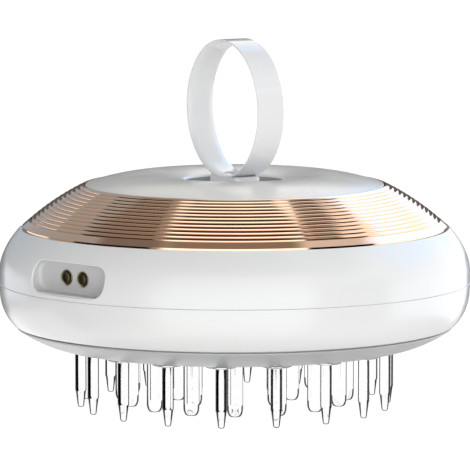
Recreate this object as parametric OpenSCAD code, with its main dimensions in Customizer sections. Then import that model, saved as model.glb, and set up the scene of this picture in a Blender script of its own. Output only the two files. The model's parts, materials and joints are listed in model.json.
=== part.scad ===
// Electric scalp massager: a round, palm-sized vibrating massager with clear comb teeth underneath,
// a dished power button on top and a finger ring that swivels in the middle of the button.
// Millimetres, +Z up. The origin is on the surface that the tooth tips stand on, on the body's axis,
// and the charging port faces -Y. Angles given for ports, posts and ribs run counter-clockwise from +X.

/* [Body] */
// Widest diameter of the body
body_d = 96; // [94:1:104]
// Height of the widest line above the seam between the two shells
belt_rise = 2.85; // [1.5:0.05:4]
// Height of the lower shell, from its bottom edge to the seam
lower_h = 7.75; // [7.5:0.05:10]
// Height of the upper shell's visible side, from the seam to the trim ring
upper_h = 12.12; // [12:0.02:14]
// How far the side draws in from the widest line up to the trim ring
upper_draw = 4.4; // [4:0.1:5]
// How far the side draws in from the widest line down to the bottom edge
lower_draw = 3.1; // [2.5:0.1:3.6]
// Wall thickness of both shells
wall = 2; // [1.8:0.1:2.2]
// Visible gap between the two shells
seam_gap = 0.15; // [0.1:0.05:0.3]

/* [Trim ring] */
// How far the metal trim ring's bottom edge stands inside the body's side
trim_inset = 0.2; // [0.1:0.05:0.4]
// Height of the trim ring, from its bottom edge to its top lip
trim_h = 8.73; // [8.4:0.05:9]
// How far the ring's face bulges out from a straight cone
trim_crown = 0.45; // [0.2:0.05:0.7]
// Thickness of the trim ring
trim_t = 1; // [0.8:0.05:1.2]
// Number of turned grooves round the ring
groove_n = 12; // [8:1:12]
// Width of the plain band below the last groove
plain_band = 1.67; // [1.4:0.01:2]
// Distance from the top lip to the first groove
groove_first = 1.9; // [1.5:0.1:2]
// Width of one groove
groove_w = 0.34; // [0.2:0.02:0.5]
// Depth of one groove
groove_depth = 0.22; // [0.1:0.02:0.3]

/* [Button] */
// Radius of the button cap
cap_r = 30.4; // [30:0.1:30.8]
// Visible gap round the button cap
cap_gap = 0.25; // [0.2:0.05:0.35]
// Height of the cap's soft ridge above its edge
cap_crown = 2.2; // [1.6:0.1:2.8]
// Radius of the cap's soft ridge
ridge_r = 18; // [16:0.5:20]
// Depth of the dish inside the ridge, at the edge of the cup
dish_depth = 1.25; // [1:0.05:1.4]
// Wall thickness of the cap
cap_t = 1.5; // [1.3:0.1:1.8]
// Radius of the cup that the finger ring swivels in
cup_r = 10.2; // [9.6:0.1:11]
// Depth of the cup below its edge
cup_depth = 2.75; // [2.5:0.05:3]
// How far the button travels when it is pressed
press_travel = 0.6; // [0.4:0.1:0.8]

/* [Finger ring] */
// Outer diameter of the finger ring
ring_d = 28.2; // [26:0.2:34]
// Width of the finger ring's band
ring_w = 6.1; // [5:0.1:8]
// Thickness of the finger ring's band
ring_t = 0.85; // [0.7:0.05:1.4]
// Angle that the finger ring is turned to about the body's axis
ring_turn = -14; // [-90:1:90]
// Width of the foot that joins the band to its turntable
foot_w = 11; // [8:0.5:13]

/* [Teeth] */
// Length of a pointed tooth, from its tip to its collar
tooth_h = 12.2; // [11:0.1:15]
// Diameter of a pointed tooth
point_d = 2.3; // [2:0.1:2.8]
// Diameter of the collar at the root of a pointed tooth
collar_d = 6.1; // [5.5:0.1:6.4]
// How far the collar stands out of the base plate
collar_proud = 0.65; // [0.4:0.05:1]
// Diameter of a round-ended tooth
round_d = 3.2; // [3:0.1:3.5]
// Diameter of the bore inside a round-ended tooth
round_bore_d = 1.9; // [1.6:0.1:2]
// How much shorter the round-ended teeth are than the pointed ones
round_short = 1.05; // [0.6:0.05:1.6]
// Distance from the edge of the base plate's flat middle in to the circle of pointed teeth
outer_row_inset = 4; // [3.8:0.1:4.4]
// Distance from the circle of pointed teeth in to the circle of round-ended teeth halfway in
middle_row_gap = 8.7; // [8.6:0.1:9]
// Distance from there in to the innermost circle of teeth
inner_row_gap = 11.2; // [9:0.1:12]
// Number of pointed teeth
outer_row_n = 18; // [12:1:20]
// Number of round-ended teeth halfway in
middle_row_n = 16; // [10:1:18]
// Number of teeth in the innermost circle
inner_row_n = 8; // [5:1:9]

/* [Base plate] */
// Width of the curved border round the base plate's flat middle
border_w = 8.95; // [8.6:0.05:9]
// How far the base plate curves up from its flat middle to its rim
base_rise = 3.6; // [3:0.1:4.2]
// Thickness of the base plate
base_t = 1.8; // [1.5:0.1:2.2]

/* [Charging port] */
// Width of the charging recess
port_w = 20.4; // [18:0.2:22]
// Height of the charging recess
port_h = 6.1; // [5.5:0.1:6.6]
// Height of the recess's middle above the seam
port_rise = 5.15; // [5:0.05:5.5]
// Depth of the recess below the widest line of the body
port_depth = 3.4; // [3:0.1:3.8]
// Diameter of a charging contact
contact_d = 3.1; // [2.4:0.1:3.4]
// Distance between the two contacts
contact_pitch = 4.6; // [4.2:0.1:5]

/* [Inside] */
// Diameter of the vibration motor
motor_d = 10; // [8:0.2:10]
// Length of the vibration motor's can
motor_len = 16; // [12:0.5:16]
// Clearance between the motor and the main circuit board, seen from above
motor_gap = 1; // [0.8:0.1:1.4]
// Diameter of the motor's shaft
shaft_d = 1.5; // [1.2:0.1:2]
// Radius of the eccentric weight
weight_r = 4.2; // [3:0.1:4.4]
// Length of the eccentric weight
weight_len = 4; // [3:0.5:5]
// Width of the battery cell
battery_w = 18; // [14:0.5:18]
// Length of the battery cell
battery_len = 34; // [25:1:36]
// Thickness of the battery cell
battery_t = 6.5; // [5:0.1:6.6]
// Clearance between the motor's strap and the button's guide
strap_gap = 1.3; // [1:0.1:1.5]
// Thickness of the circuit boards
board_t = 1.2; // [1:0.1:1.6]
// Distance from the body's widest line in to the case screws
post_inset = 9.5; // [9.2:0.1:9.8]
// Distance from the chassis to the main board
board_lift = 7.4; // [7.2:0.1:7.6]

/* [Hidden] */

$fn = 96;

// Clearances
slide_fit = 0.08;   // round the button's skirt in its guide
turn_fit = 0.05;    // round a shaft or a plunger in its bore
seat_fit = 0.1;     // round a piece that drops into a pocket
face_fit = 0.05;    // between two faces that rest on each other
screw_fit = 0.02;   // round a screw's thread in its pilot hole
through_fit = 0.2;  // round a screw where it passes through
eps = 0.01;         // how far a cut runs past the face that it opens

// Body curve
body_r = body_d / 2;
upper_curve = 1.95; // exponent of the side's curve above the widest line
lower_curve = 3.46; // exponent of the side's curve below it
side_steps = 12;    // straight steps in each stretch of the side

// Heights, from the tooth tips up
base_z = tooth_h + collar_proud;         // underside of the base plate
base_in_z = base_z + base_t;             // upper face of its flat middle
rim_face = 0.5;                          // height of the base plate's rim face
rim_top_z = base_z + base_rise + rim_face;
shell_low_z = rim_top_z + face_fit;      // bottom edge of the lower shell
seam_z = shell_low_z + lower_h;
belt_z = seam_z + belt_rise;
trim_low_z = seam_z + upper_h;
trim_top_z = trim_low_z + trim_h;
cap_edge_z = trim_top_z - 0.2;           // edge of the button cap, a little below the trim ring's lip
cup_edge_z = cap_edge_z + cap_crown - dish_depth;
cup_floor_z = cup_edge_z - cup_depth;
cup_floor_t = 1.6;

// Outer radius of the body at height z
function side_r(z) = z >= belt_z
    ? body_r - upper_draw * pow((z - belt_z) / (trim_low_z - belt_z), upper_curve)
    : body_r - lower_draw * pow((belt_z - z) / (belt_z - shell_low_z), lower_curve);

// Points down or up the body's side, moved inwards by inset
function side_line(z0, z1, inset) =
    [for (i = [0:side_steps]) let (z = z0 + (z1 - z0) * i / side_steps) [side_r(z) - inset, z]];

// Trim ring: a point at distance s down its face from the top lip, moved outwards by lift
trim_in_r = cap_r + cap_gap;
trim_out_r = side_r(trim_low_z) - trim_inset;
trim_a = [trim_in_r, trim_top_z];
trim_b = [trim_out_r, trim_low_z];
trim_len = norm(trim_b - trim_a);
trim_dir = (trim_b - trim_a) / trim_len;
trim_up = [-trim_dir[1], trim_dir[0]];
groove_pitch = (trim_len - groove_first - plain_band) / (groove_n - 1);
trim_steps = 8;
function trim_bulge(s) = 4 * trim_crown * (s / trim_len) * (1 - s / trim_len);
function trim_pt(s, lift) = trim_a + trim_dir * s + trim_up * (lift + trim_bulge(s));
function trim_line(s0, s1, lift) =
    [for (i = [0:trim_steps]) trim_pt(s0 + (s1 - s0) * i / trim_steps, lift)];

trim_bevel = 0.3;      // bevel at the trim ring's bottom edge
tape_t = 0.15;         // adhesive under the trim ring
tape_margin = 1.2;     // how far the adhesive stops short of the ring's edges
edge_gap = 0.12;       // between the trim ring's bottom edge and the shell
deck_t = 1.8;          // thickness of the sloping deck that carries the trim ring
deck_lift = -(trim_t + tape_t);
step_top = trim_b + trim_dir * edge_gap;
step_foot = step_top + trim_up * deck_lift;

// Button guide, its stops and springs
guide_r = cap_r + slide_fit;
guide_t = 1.6;
spring_seat_t = 1.2;
spring_inset = 3;      // from the guide's wall in to the springs' middle
spring_seat_w = 6.4;
spring_row_r = guide_r - spring_inset;
spring_seat_in_r = spring_row_r - spring_inset;
spring_angles = [60, 180, 300];
stop_angles = [0, 120, 240];
stop_w = 5;
stop_reach = 1.1;      // how far a stop ear reaches into the guide's wall
pusher_t = 1.5;
screw_head_room = 0.5; // between the ring screw's head and the pusher plate
ring_washer_t = 0.8;
ring_washer_r = 5.5;
ring_head_h = 1.2;
ring_head_r = 2.5;
ring_washer_top_z = cup_floor_z - cup_floor_t - seat_fit;
ring_head_z = ring_washer_top_z - ring_washer_t - ring_head_h;
pusher_top_z = ring_head_z - screw_head_room;
pusher_z = pusher_top_z - pusher_t;
pusher_r = guide_r - 1.4;
pusher_pad_h = 0.2;
pusher_pad_r = 3;
skirt_t = 1.4;
skirt_h = 3.8;
seal_wire_r = 0.33;
seal_drop = 2.4;       // from the cap's edge down to its seal
pusher_boss_r = 2.4;
pusher_boss_row_r = 20;

// Button springs
spring_h = 4.4;
spring_r = 2;
spring_wire_r = 0.3;
spring_turns = 4;
spring_rings = 18;     // rings in each turn of the wire's mesh
spring_seat_z = pusher_z - spring_h;
guide_low_z = spring_seat_z - spring_seat_t;

// Finger ring
ring_r = ring_d / 2;
turntable_t = 1.2;
turntable_play = 0.3;
turntable_z = cup_floor_z + seat_fit;
foot_z = turntable_z + turntable_t;
foot_h = 2.4;
ring_low_z = foot_z + 1.9;               // lowest point of the band's outside
ring_z = ring_low_z + ring_r;
stem_r = 3;
ring_screw_r = 1;
ring_screw_len = 3.2;

// Shell joint
seal_r = 0.45;         // the seam seal's cord
seal_groove_w = 1.1;
seal_groove_depth = 0.9;
lip_h = 2;
lip_t = 1.1;
lip_gap = 0.15;
lip_root_h = 2;
flange_t = 1.6;
flange_reach = 1;      // how far the flange reaches in past the middle of the case screws

// Case screws: four columns of a lower boss, a chassis ear and an upper post
post_r = body_r - post_inset;
flange_in_r = post_r - flange_reach;
post_angles = [45, 135, 225, 315];
chassis_t = 1.6;
boss_h = 6;            // from the lower shell's bottom edge to the chassis
boss_d = 6;
ear_z = shell_low_z + boss_h;
chassis_top_z = ear_z + chassis_t;
case_screw_r = 1.1;
case_head_r = 2.1;
case_head_h = 1.4;
case_screw_len = 12;

// Circles that the teeth stand on
rim_inset = 0.45;      // the base plate's rim is this much smaller than the lower shell's edge
rim_r = side_r(shell_low_z) - rim_inset;
flat_r = rim_r - border_w;
outer_row_r = flat_r - outer_row_inset;
middle_row_r = outer_row_r - middle_row_gap;
inner_row_r = middle_row_r - inner_row_gap;

// Teeth and what clamps them
taper_h = 3.3;         // height of a pointed tooth's tapered end
taper_step = 0.2;      // inset where the taper starts
point_tip_r = 0.6;
point_flat_r = 0.3;
round_tip_h = 1.65;
round_tip_r = 0.85;
bore_end = 1.5;        // solid end below a round-ended tooth's bore
gasket_t = 0.4;
head_z = base_in_z + gasket_t;           // underside of the teeth's heads
head_t = 1.2;
head_rim = 0.9;        // how far a head is wider than the hole that it covers
hole_fit = 0.1;
gasket_margin = 0.65;  // how far the gasket runs past the collars
gasket_r = outer_row_r + collar_d / 2 + gasket_margin;
clamp_t = 1.2;
clamp_z = head_z + head_t + face_fit;
clamp_margin = 0.45;   // how far the clamp plate runs past the collars
clamp_r = outer_row_r + collar_d / 2 + clamp_margin;
clamp_window_r = 1.4;
clamp_row_inset = 4.5; // from the circle of pointed teeth in to the clamp screws
clamp_row_r = outer_row_r - clamp_row_inset;
clamp_n = 4;           // clamp screws, each midway between two pointed teeth
clamp_angles = [for (i = [0:clamp_n - 1]) -90 + 360 * (floor(i * outer_row_n / clamp_n) + 0.5) / outer_row_n];
clamp_boss_r = 1.5;
clamp_screw_r = 0.8;
clamp_head_r = 1.5;
clamp_head_h = 0.8;
clamp_screw_len = 2.6;

// Base plate
base_curve = 1.6;      // exponent of the upward curve to the rim
base_steps = 9;
seat_step = 2;         // from the flange's inner edge out to the flat seat under it
seat_in_r = flange_in_r + seat_step;
hook_angles = [0, 60, 120, 180, 240, 300];
hook_w = 5;
hook_t = 1.1;
hook_play = 0.2;
hook_catch = 0.6;
hook_nose_h = 0.6;
function base_low(r) = r <= flat_r
    ? base_z
    : base_z + base_rise * pow((r - flat_r) / (rim_r - flat_r), base_curve);

// Motor beside the main board, inside the button's guide
motor_r = motor_d / 2;
strap_t = 1.1;
motor_x = guide_r - strap_gap - strap_t - face_fit - motor_r;
board_r = motor_x - motor_r - motor_gap;

// Lights under the chassis
led_board_in_r = 7;
led_board_gap = 2.5;   // from the light board to the lower shell's bosses
led_board_out_r = post_r - boss_d / 2 - led_board_gap;
led_post_inset = 4;    // from the light board's edge in to its screws
led_post_row_r = led_board_out_r - led_post_inset;
led_post_r = 2;
led_angles = [30, 150, 270];
led_drop = 2.8;        // from the chassis down to the light board
led_board_z = ear_z - led_drop - board_t;
led_size = [3.2, 2.8, 0.7];
led_n = 8;
led_row_inset = 5.8;   // from the middle circle of teeth in to the lights
led_row_r = middle_row_r - led_row_inset;
small_screw_r = 0.8;
small_head_r = 1.6;
small_head_h = 0.9;
small_screw_len = 4;

// Chassis
chassis_gap = 0.3;     // from the chassis's disc to the posts beside it
chassis_r = post_r - boss_d / 2 - chassis_gap;
ear_r = 3.4;
main_post_r = 2;
main_post_inset = 2.5; // from the main board's edge in to its screws
main_post_row_r = board_r - main_post_inset;
main_post_angles = [60, 180, 300];
board_z = chassis_top_z + board_lift;
board_top_z = board_z + board_t;
wire_hole_r = 2;
wire_hole = [-9, -22];

// Switch
switch_size = [6, 6, 3.4];
plunger_r = 1.7;
plunger_gap = 0.1;
plunger_top_z = pusher_z - pusher_pad_h - plunger_gap;
plunger_h = 2.2;

// Motor
motor_bed = 0.4;
motor_z = chassis_top_z + motor_bed + motor_r;
cradle_w = 3;
cradle_h = 3;
cradle_t = 1.5;
shaft_in = 6;
shaft_out = 6;
weight_gap = 1;        // from the motor's end to the weight
strap_w = 5;
strap_foot = 3.4;
strap_foot_t = 1.2;
strap_hole_x = motor_r + strap_t + strap_foot / 2;
strap_lug_r = 2.7;     // disc of the chassis round each strap screw

// Battery
battery_gap = 0.5;     // from the battery to the main board's post beside it
battery_x = -(main_post_row_r + main_post_r + battery_gap + battery_w); // the battery's outer edge
pad_t = 0.3;
battery_z = chassis_top_z + pad_t + face_fit;
socket_size = [5, 4, 3];

// Charging port
port_z = seam_z + port_rise;
port_corner = port_h * 0.42;
port_floor_y = -(body_r - port_depth);
port_wall = 1.4;       // wall of the tunnel behind the recess
tunnel_len = 1.6;      // from the recess's floor to the tunnel's inner end
port_seal_t = 0.4;
port_flange_t = 1.2;
tunnel_y = port_floor_y + tunnel_len;
port_flange_y = tunnel_y + port_seal_t;
contact_proud = 0.25;
contact_head_t = 0.8;
contact_pin_r = 0.8;
magnet_r = 2.1;
magnet_t = 1.5;
magnet_x = 7.2;
contact_board_size = [12, board_t, 6.5];
contact_board_y = port_flange_y + port_flange_t + seat_fit;
contact_tail = 0.6;

// Wires: routes as points, and their size
wire_r = 0.5;
wire_pitch = 1.4;
wire_sides = 8;

// ---------------------------------------------------------------- helpers

module ring_of(angles, r)
    for (a = angles)
        rotate([0, 0, a])
            translate([r, 0, 0])
                children();

module row_of(n, r)
    for (i = [0:n - 1])
        rotate([0, 0, -90 + 360 * i / n])
            translate([r, 0, 0])
                children();

// A plain screw that points up from its head's underside at z = 0
module screw_up(shank_r, length, head_r, head_h) {
    translate([0, 0, -head_h])
        cylinder(r = head_r, h = head_h);
    translate([0, 0, -eps])
        cylinder(r = shank_r, h = length + eps);
}

module tube(r_out, r_in, h)
    difference() {
        cylinder(r = r_out, h = h);
        translate([0, 0, -1])
            cylinder(r = r_in, h = h + 2);
    }

// The solid inside the upper shell, as far out as the middle of its wall and deck
module upper_fill(inset)
    rotate_extrude()
        polygon(concat(
            [[0, seam_z + seam_gap]],
            side_line(seam_z + seam_gap, trim_pt(trim_len, deck_lift - inset)[1], inset),
            trim_line(trim_len, 0, deck_lift - inset),
            [[0, trim_pt(0, deck_lift - inset)[1]]]));

// A slab with rounded corners that stands in the XZ plane, from y0 to y1
module port_slab(w, h, corner, y0, y1)
    translate([0, y1, port_z])
        rotate([90, 0, 0])
            linear_extrude(y1 - y0)
                union() {
                    square([w, h - 2 * corner], center = true);
                    square([w - 2 * corner, h], center = true);
                    for (x = [-1, 1], y = [-1, 1])
                        translate([x * (w / 2 - corner), y * (h / 2 - corner)])
                            circle(r = corner, $fn = 48);
                }

// Swept tube: rings of points round a route, then the faces between them
function unit(v) = v / norm(v);
function route_dir(p, i) =
    unit(p[min(i + 1, len(p) - 1)] - p[max(i - 1, 0)]);
function side_dir(d) = unit(cross(d, abs(d[2]) > 0.8 ? [1, 0, 0] : [0, 0, 1]));
function sweep_ring(c, d, r, n) =
    let (u = side_dir(d), v = cross(d, u))
    [for (k = [0:n - 1]) c + r * (cos(360 * k / n) * u + sin(360 * k / n) * v)];
module sweep(route, r, n) {
    rings = len(route);
    points = [for (i = [0:rings - 1]) each sweep_ring(route[i], route_dir(route, i), r, n)];
    sides = [
        for (i = [0:rings - 2], k = [0:n - 1])
            let (a = i * n + k, b = i * n + (k + 1) % n)
            each [[a, b, a + n], [b, b + n, a + n]]
    ];
    polyhedron(points = points, faces = concat(
        sides,
        [[for (k = [n - 1:-1:0]) k]],
        [[for (k = [0:n - 1]) (rings - 1) * n + k]]));
}

// A smooth curve through a few hand-set points, with a straight lead at each end
route_steps = 4;
function hermite(a, b, ta, tb, t) =
    (2 * pow(t, 3) - 3 * pow(t, 2) + 1) * a + (pow(t, 3) - 2 * pow(t, 2) + t) * ta
    + (3 * pow(t, 2) - 2 * pow(t, 3)) * b + (pow(t, 3) - pow(t, 2)) * tb;
function tangent(p, i) = (p[min(i + 1, len(p) - 1)] - p[max(i - 1, 0)]) / 2;
function smooth_route(p) = concat(
    [for (i = [0:len(p) - 2], k = [0:route_steps - 1])
        hermite(p[i], p[i + 1], tangent(p, i), tangent(p, i + 1), k / route_steps)],
    [p[len(p) - 1]]);
module wire(points) {
    last = len(points) - 1;
    inner = [for (i = [1:last - 1]) points[i]];
    sweep(concat([points[0]], smooth_route(inner), [points[last]]), wire_r, wire_sides);
}

// ---------------------------------------------------------------- shells

module upper_shell() color("white")
    difference() {
        union() {
            rotate_extrude()
                polygon(concat(
                    side_line(seam_z + seam_gap, step_top[1], 0),
                    [step_top, step_foot],
                    trim_line(trim_len, 0, deck_lift),
                    trim_line(0, trim_len, deck_lift - deck_t),
                    side_line(trim_pt(trim_len, deck_lift - deck_t)[1], seam_z + seam_gap, wall)));
            shell_lip();
            guide_tube();
            upper_posts();
            intersection() {
                port_slab(port_w + 2 * port_wall, port_h + 2 * port_wall, port_corner + port_wall,
                    -body_r, tunnel_y);
                upper_fill(wall / 2);
            }
        }
        translate([0, 0, spring_seat_z])
            cylinder(r = guide_r, h = trim_top_z);
        ring_of(stop_angles, guide_r)
            translate([-1, -stop_w / 2 - through_fit, pusher_z - press_travel - seat_fit])
                cube([guide_t + 2, stop_w + 2 * through_fit,
                    pusher_t + press_travel + seat_fit + face_fit]);
        ring_of(post_angles, post_r)
            translate([0, 0, chassis_top_z - 1])
                cylinder(r = case_screw_r + screw_fit, h = case_screw_len - boss_h + 2.5);
        port_slab(port_w, port_h, port_corner, -body_r - 1, tunnel_y + 1);
        port_slab(port_w + 2 * port_wall + 1, port_h + 2 * port_wall + 1, port_corner,
            tunnel_y, tunnel_y + 3);
    }

// Ring inside the seam that centres the two shells on each other
module shell_lip() {
    lip_r = side_r(seam_z - lip_h) - wall - lip_gap;
    translate([0, 0, seam_z - lip_h])
        tube(lip_r, lip_r - lip_t, lip_h + seam_gap + lip_root_h);
    translate([0, 0, seam_z + seam_gap])
        tube(side_r(seam_z) - wall / 2, lip_r - lip_t, lip_root_h);
}

// Tube that the button's skirt slides in, with a seat for each spring
module guide_tube() {
    translate([0, 0, guide_low_z])
        tube(guide_r + guide_t, guide_r - eps,
            trim_pt((guide_t + slide_fit) / trim_dir[0], deck_lift - deck_t / 2)[1] - guide_low_z);
    ring_of(spring_angles, spring_seat_in_r)
        translate([0, -spring_seat_w / 2, guide_low_z])
            cube([guide_r + guide_t / 2 - spring_seat_in_r, spring_seat_w, spring_seat_t]);
}

module upper_posts()
    intersection() {
        ring_of(post_angles, post_r)
            translate([0, 0, chassis_top_z + face_fit])
                cylinder(d = boss_d, h = trim_top_z);
        union() {
            upper_fill(wall / 2);
            cylinder(r = post_r + boss_d / 2, h = seam_z + seam_gap + eps);
        }
    }

module lower_shell() color("white")
    difference() {
        union() {
            rotate_extrude()
                polygon(concat(
                    side_line(shell_low_z, seam_z, 0),
                    side_line(seam_z, shell_low_z, wall)));
            translate([0, 0, shell_low_z])
                tube(side_r(shell_low_z) - wall / 2, flange_in_r, flange_t);
            ring_of(post_angles, post_r)
                translate([0, 0, shell_low_z])
                    cylinder(d = boss_d, h = boss_h - face_fit);
        }
        translate([0, 0, seam_z - seal_groove_depth])
            tube(side_r(seam_z) - wall / 2 + seal_groove_w / 2,
                side_r(seam_z) - wall / 2 - seal_groove_w / 2, seal_groove_depth + 1);
        ring_of(post_angles, post_r) {
            translate([0, 0, shell_low_z - 1])
                cylinder(r = case_head_r + through_fit, h = 1 + case_head_h + seat_fit);
            translate([0, 0, shell_low_z])
                cylinder(r = case_screw_r + through_fit, h = boss_h + 1);
        }
    }

// Rubber cord in the groove between the shells
module seam_seal() color("dimgray")
    rotate_extrude()
        translate([side_r(seam_z) - wall / 2, seam_z - seal_groove_depth + seal_r + face_fit])
            circle(r = seal_r, $fn = 32);

module case_screws() color("silver")
    ring_of(post_angles, post_r)
        translate([0, 0, shell_low_z + case_head_h + face_fit])
            screw_up(case_screw_r, case_screw_len, case_head_r, case_head_h);

// ---------------------------------------------------------------- base and teeth

module base_plate() color("lightgray")
    difference() {
        union() {
            rotate_extrude()
                polygon(concat(
                    [[0, base_z]],
                    [for (i = [0:base_steps])
                        let (r = flat_r + (rim_r - flat_r) * i / base_steps) [r, base_low(r)]],
                    [[rim_r, rim_top_z], [seat_in_r, rim_top_z], [seat_in_r, base_low(seat_in_r) + base_t]],
                    [for (i = [3:-1:0])
                        let (r = flat_r + (seat_in_r - flat_r) * i / 4) [r, base_low(r) + base_t]],
                    [[0, base_in_z]]));
            ring_of(clamp_angles, clamp_row_r)
                translate([0, 0, base_in_z - eps])
                    cylinder(r = clamp_boss_r, h = clamp_z - face_fit - base_in_z + eps);
            snap_hooks();
        }
        row_of(outer_row_n, outer_row_r)
            tooth_hole(collar_d / 2 + hole_fit);
        row_of(middle_row_n, middle_row_r)
            tooth_hole(round_d / 2 + hole_fit);
        row_of(inner_row_n, inner_row_r)
            tooth_hole(round_d / 2 + hole_fit);
        ring_of(clamp_angles, clamp_row_r)
            translate([0, 0, base_z + 1])
                cylinder(r = clamp_screw_r + screw_fit, h = clamp_z);
    }

module tooth_hole(r)
    translate([0, 0, base_z - 1])
        cylinder(r = r, h = base_t + 2, $fn = 48);

// Hooks that snap over the lower shell's flange and hold the base plate on
module snap_hooks() {
    hook_in_r = flange_in_r - hook_play - hook_t;
    nose_z = shell_low_z + flange_t + seat_fit;
    ring_of(hook_angles, hook_in_r)
        translate([0, -hook_w / 2, 0]) {
            translate([0, 0, base_in_z - 1])
                cube([hook_t, hook_w, nose_z + hook_nose_h - base_in_z + 1]);
            translate([0, 0, nose_z])
                cube([hook_t + hook_play + hook_catch, hook_w, hook_nose_h]);
        }
}

// Silicone sheet that keeps water out round the teeth
module base_gasket() color("gainsboro")
    translate([0, 0, base_in_z + face_fit])
        difference() {
            cylinder(r = gasket_r, h = gasket_t - 2 * face_fit);
            translate([0, 0, -1]) {
                row_of(outer_row_n, outer_row_r)
                    cylinder(r = collar_d / 2 + hole_fit, h = 3, $fn = 48);
                row_of(middle_row_n, middle_row_r)
                    cylinder(r = round_d / 2 + hole_fit, h = 3, $fn = 48);
                row_of(inner_row_n, inner_row_r)
                    cylinder(r = round_d / 2 + hole_fit, h = 3, $fn = 48);
                ring_of(clamp_angles, clamp_row_r)
                    cylinder(r = clamp_boss_r + hole_fit, h = 3, $fn = 48);
            }
        }

// Clear pins with a collar, a straight shaft and a tapered, rounded point
module outer_teeth() color("aliceblue", 0.5)
    row_of(outer_row_n, outer_row_r)
        rotate_extrude($fn = 48)
            polygon([
                [0, 0],
                [point_flat_r, 0],
                [point_tip_r * 0.87, 0.15],
                [point_tip_r, 0.4],
                [point_d / 2 - taper_step, taper_h],
                [point_d / 2, taper_h],
                [point_d / 2, tooth_h],
                [collar_d / 2, tooth_h],
                [collar_d / 2, head_z],
                [collar_d / 2 + hole_fit + head_rim / 3, head_z],
                [collar_d / 2 + hole_fit + head_rim / 3, head_z + head_t],
                [0, head_z + head_t]
            ]);

module middle_teeth() color("aliceblue", 0.5) row_of(middle_row_n, middle_row_r) round_tooth();

module inner_teeth() color("aliceblue", 0.5) row_of(inner_row_n, inner_row_r) round_tooth();

// Clear hollow pin with a blunt domed end
module round_tooth()
    rotate_extrude($fn = 48)
        polygon(concat(
            [[0, round_short]],
            [for (a = [0:30:90]) [
                round_tip_r + (round_d / 2 - round_tip_r) * sin(a),
                round_short + round_tip_h * (1 - cos(a))
            ]],
            [
                [round_d / 2, head_z],
                [round_d / 2 + head_rim, head_z],
                [round_d / 2 + head_rim, head_z + head_t],
                [round_bore_d / 2, head_z + head_t],
                [round_bore_d / 2, round_short + bore_end + round_bore_d / 2],
                [0, round_short + bore_end]
            ]));

// White plate that holds every tooth's head down, with a window over each for the light
module tooth_clamp() color("whitesmoke")
    translate([0, 0, clamp_z])
        difference() {
            cylinder(r = clamp_r, h = clamp_t);
            translate([0, 0, -1]) {
                row_of(outer_row_n, outer_row_r)
                    cylinder(r = clamp_window_r, h = clamp_t + 2, $fn = 32);
                row_of(middle_row_n, middle_row_r)
                    cylinder(r = clamp_window_r, h = clamp_t + 2, $fn = 32);
                row_of(inner_row_n, inner_row_r)
                    cylinder(r = clamp_window_r, h = clamp_t + 2, $fn = 32);
                ring_of(clamp_angles, clamp_row_r)
                    cylinder(r = clamp_screw_r + through_fit, h = clamp_t + 2, $fn = 32);
            }
        }

module clamp_screws() color("silver")
    ring_of(clamp_angles, clamp_row_r)
        translate([0, 0, clamp_z + clamp_t + face_fit])
            mirror([0, 0, 1])
                screw_up(clamp_screw_r, clamp_screw_len, clamp_head_r, clamp_head_h);

// ---------------------------------------------------------------- trim ring

// Metal ring on the sloping deck, turned with fine grooves and bevelled at the bottom
module trim_ring() color("rosybrown")
    difference() {
        rotate_extrude()
            polygon(concat(
                [trim_pt(0, 0)],
                [for (i = [0:groove_n - 1], k = [-1:1])
                    trim_pt(groove_first + i * groove_pitch + k * groove_w / 2, k == 0 ? -groove_depth : 0)],
                [trim_pt(trim_len - trim_bevel, 0), trim_pt(trim_len, -trim_bevel)],
                trim_line(trim_len, 0, -trim_t)));
        translate([0, 0, trim_low_z])
            cylinder(r = trim_in_r, h = trim_h + 1);
    }

module trim_tape() color("khaki")
    rotate_extrude()
        polygon(concat(
            trim_line(tape_margin, trim_len - tape_margin, -trim_t - face_fit / 2),
            trim_line(trim_len - tape_margin, tape_margin, deck_lift + face_fit / 2)));

// ---------------------------------------------------------------- button

// Height of the cap's upper face at radius r
function cap_z(r) = cap_edge_z + cap_crown - (r > ridge_r
    ? cap_crown * pow((r - ridge_r) / (cap_r - ridge_r), 2)
    : dish_depth * pow((ridge_r - r) / (ridge_r - cup_r), 2));
cap_steps = 14;
cap_edge_h = 0.6;      // height of the cap's edge above its thin skirt

module button_cap() color("white")
    difference() {
        union() {
            rotate_extrude()
                polygon(concat(
                    [for (i = [0:cap_steps])
                        let (r = cup_r + (cap_r - cup_r) * i / cap_steps) [r, cap_z(r)]],
                    [for (i = [cap_steps:-1:0])
                        let (r = cup_r + (cap_r - cup_r) * i / cap_steps)
                        [r, min(cap_z(r) - cap_t, cap_edge_z - cap_edge_h + (cap_r - r))]]));
            translate([0, 0, cap_edge_z - skirt_h])
                tube(cap_r, cap_r - skirt_t, skirt_h);
            translate([0, 0, cup_floor_z - cup_floor_t])
                tube(cup_r + cap_t, cup_r, cup_edge_z - cup_floor_z + cup_floor_t - cap_t / 2);
            translate([0, 0, cup_floor_z - cup_floor_t])
                tube(cup_r + eps, stem_r + turn_fit, cup_floor_t);
            ring_of(stop_angles, pusher_boss_row_r)
                translate([0, 0, pusher_top_z + face_fit])
                    cylinder(r = pusher_boss_r, h = cap_edge_z - pusher_top_z + cap_t / 3);
        }
        translate([0, 0, cap_edge_z - seal_drop - seal_wire_r - face_fit])
            tube(cap_r + 1, cap_r - 2 * seal_wire_r - face_fit, 2 * (seal_wire_r + face_fit));
        ring_of(stop_angles, pusher_boss_row_r)
            translate([0, 0, pusher_top_z - 1])
                cylinder(r = small_screw_r + screw_fit, h = small_screw_len);
    }

// Rubber cord round the skirt that keeps water out of the guide
module button_seal() color("dimgray")
    rotate_extrude()
        translate([guide_r - turn_fit - seal_wire_r, cap_edge_z - seal_drop])
            circle(r = seal_wire_r, $fn = 32);

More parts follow.
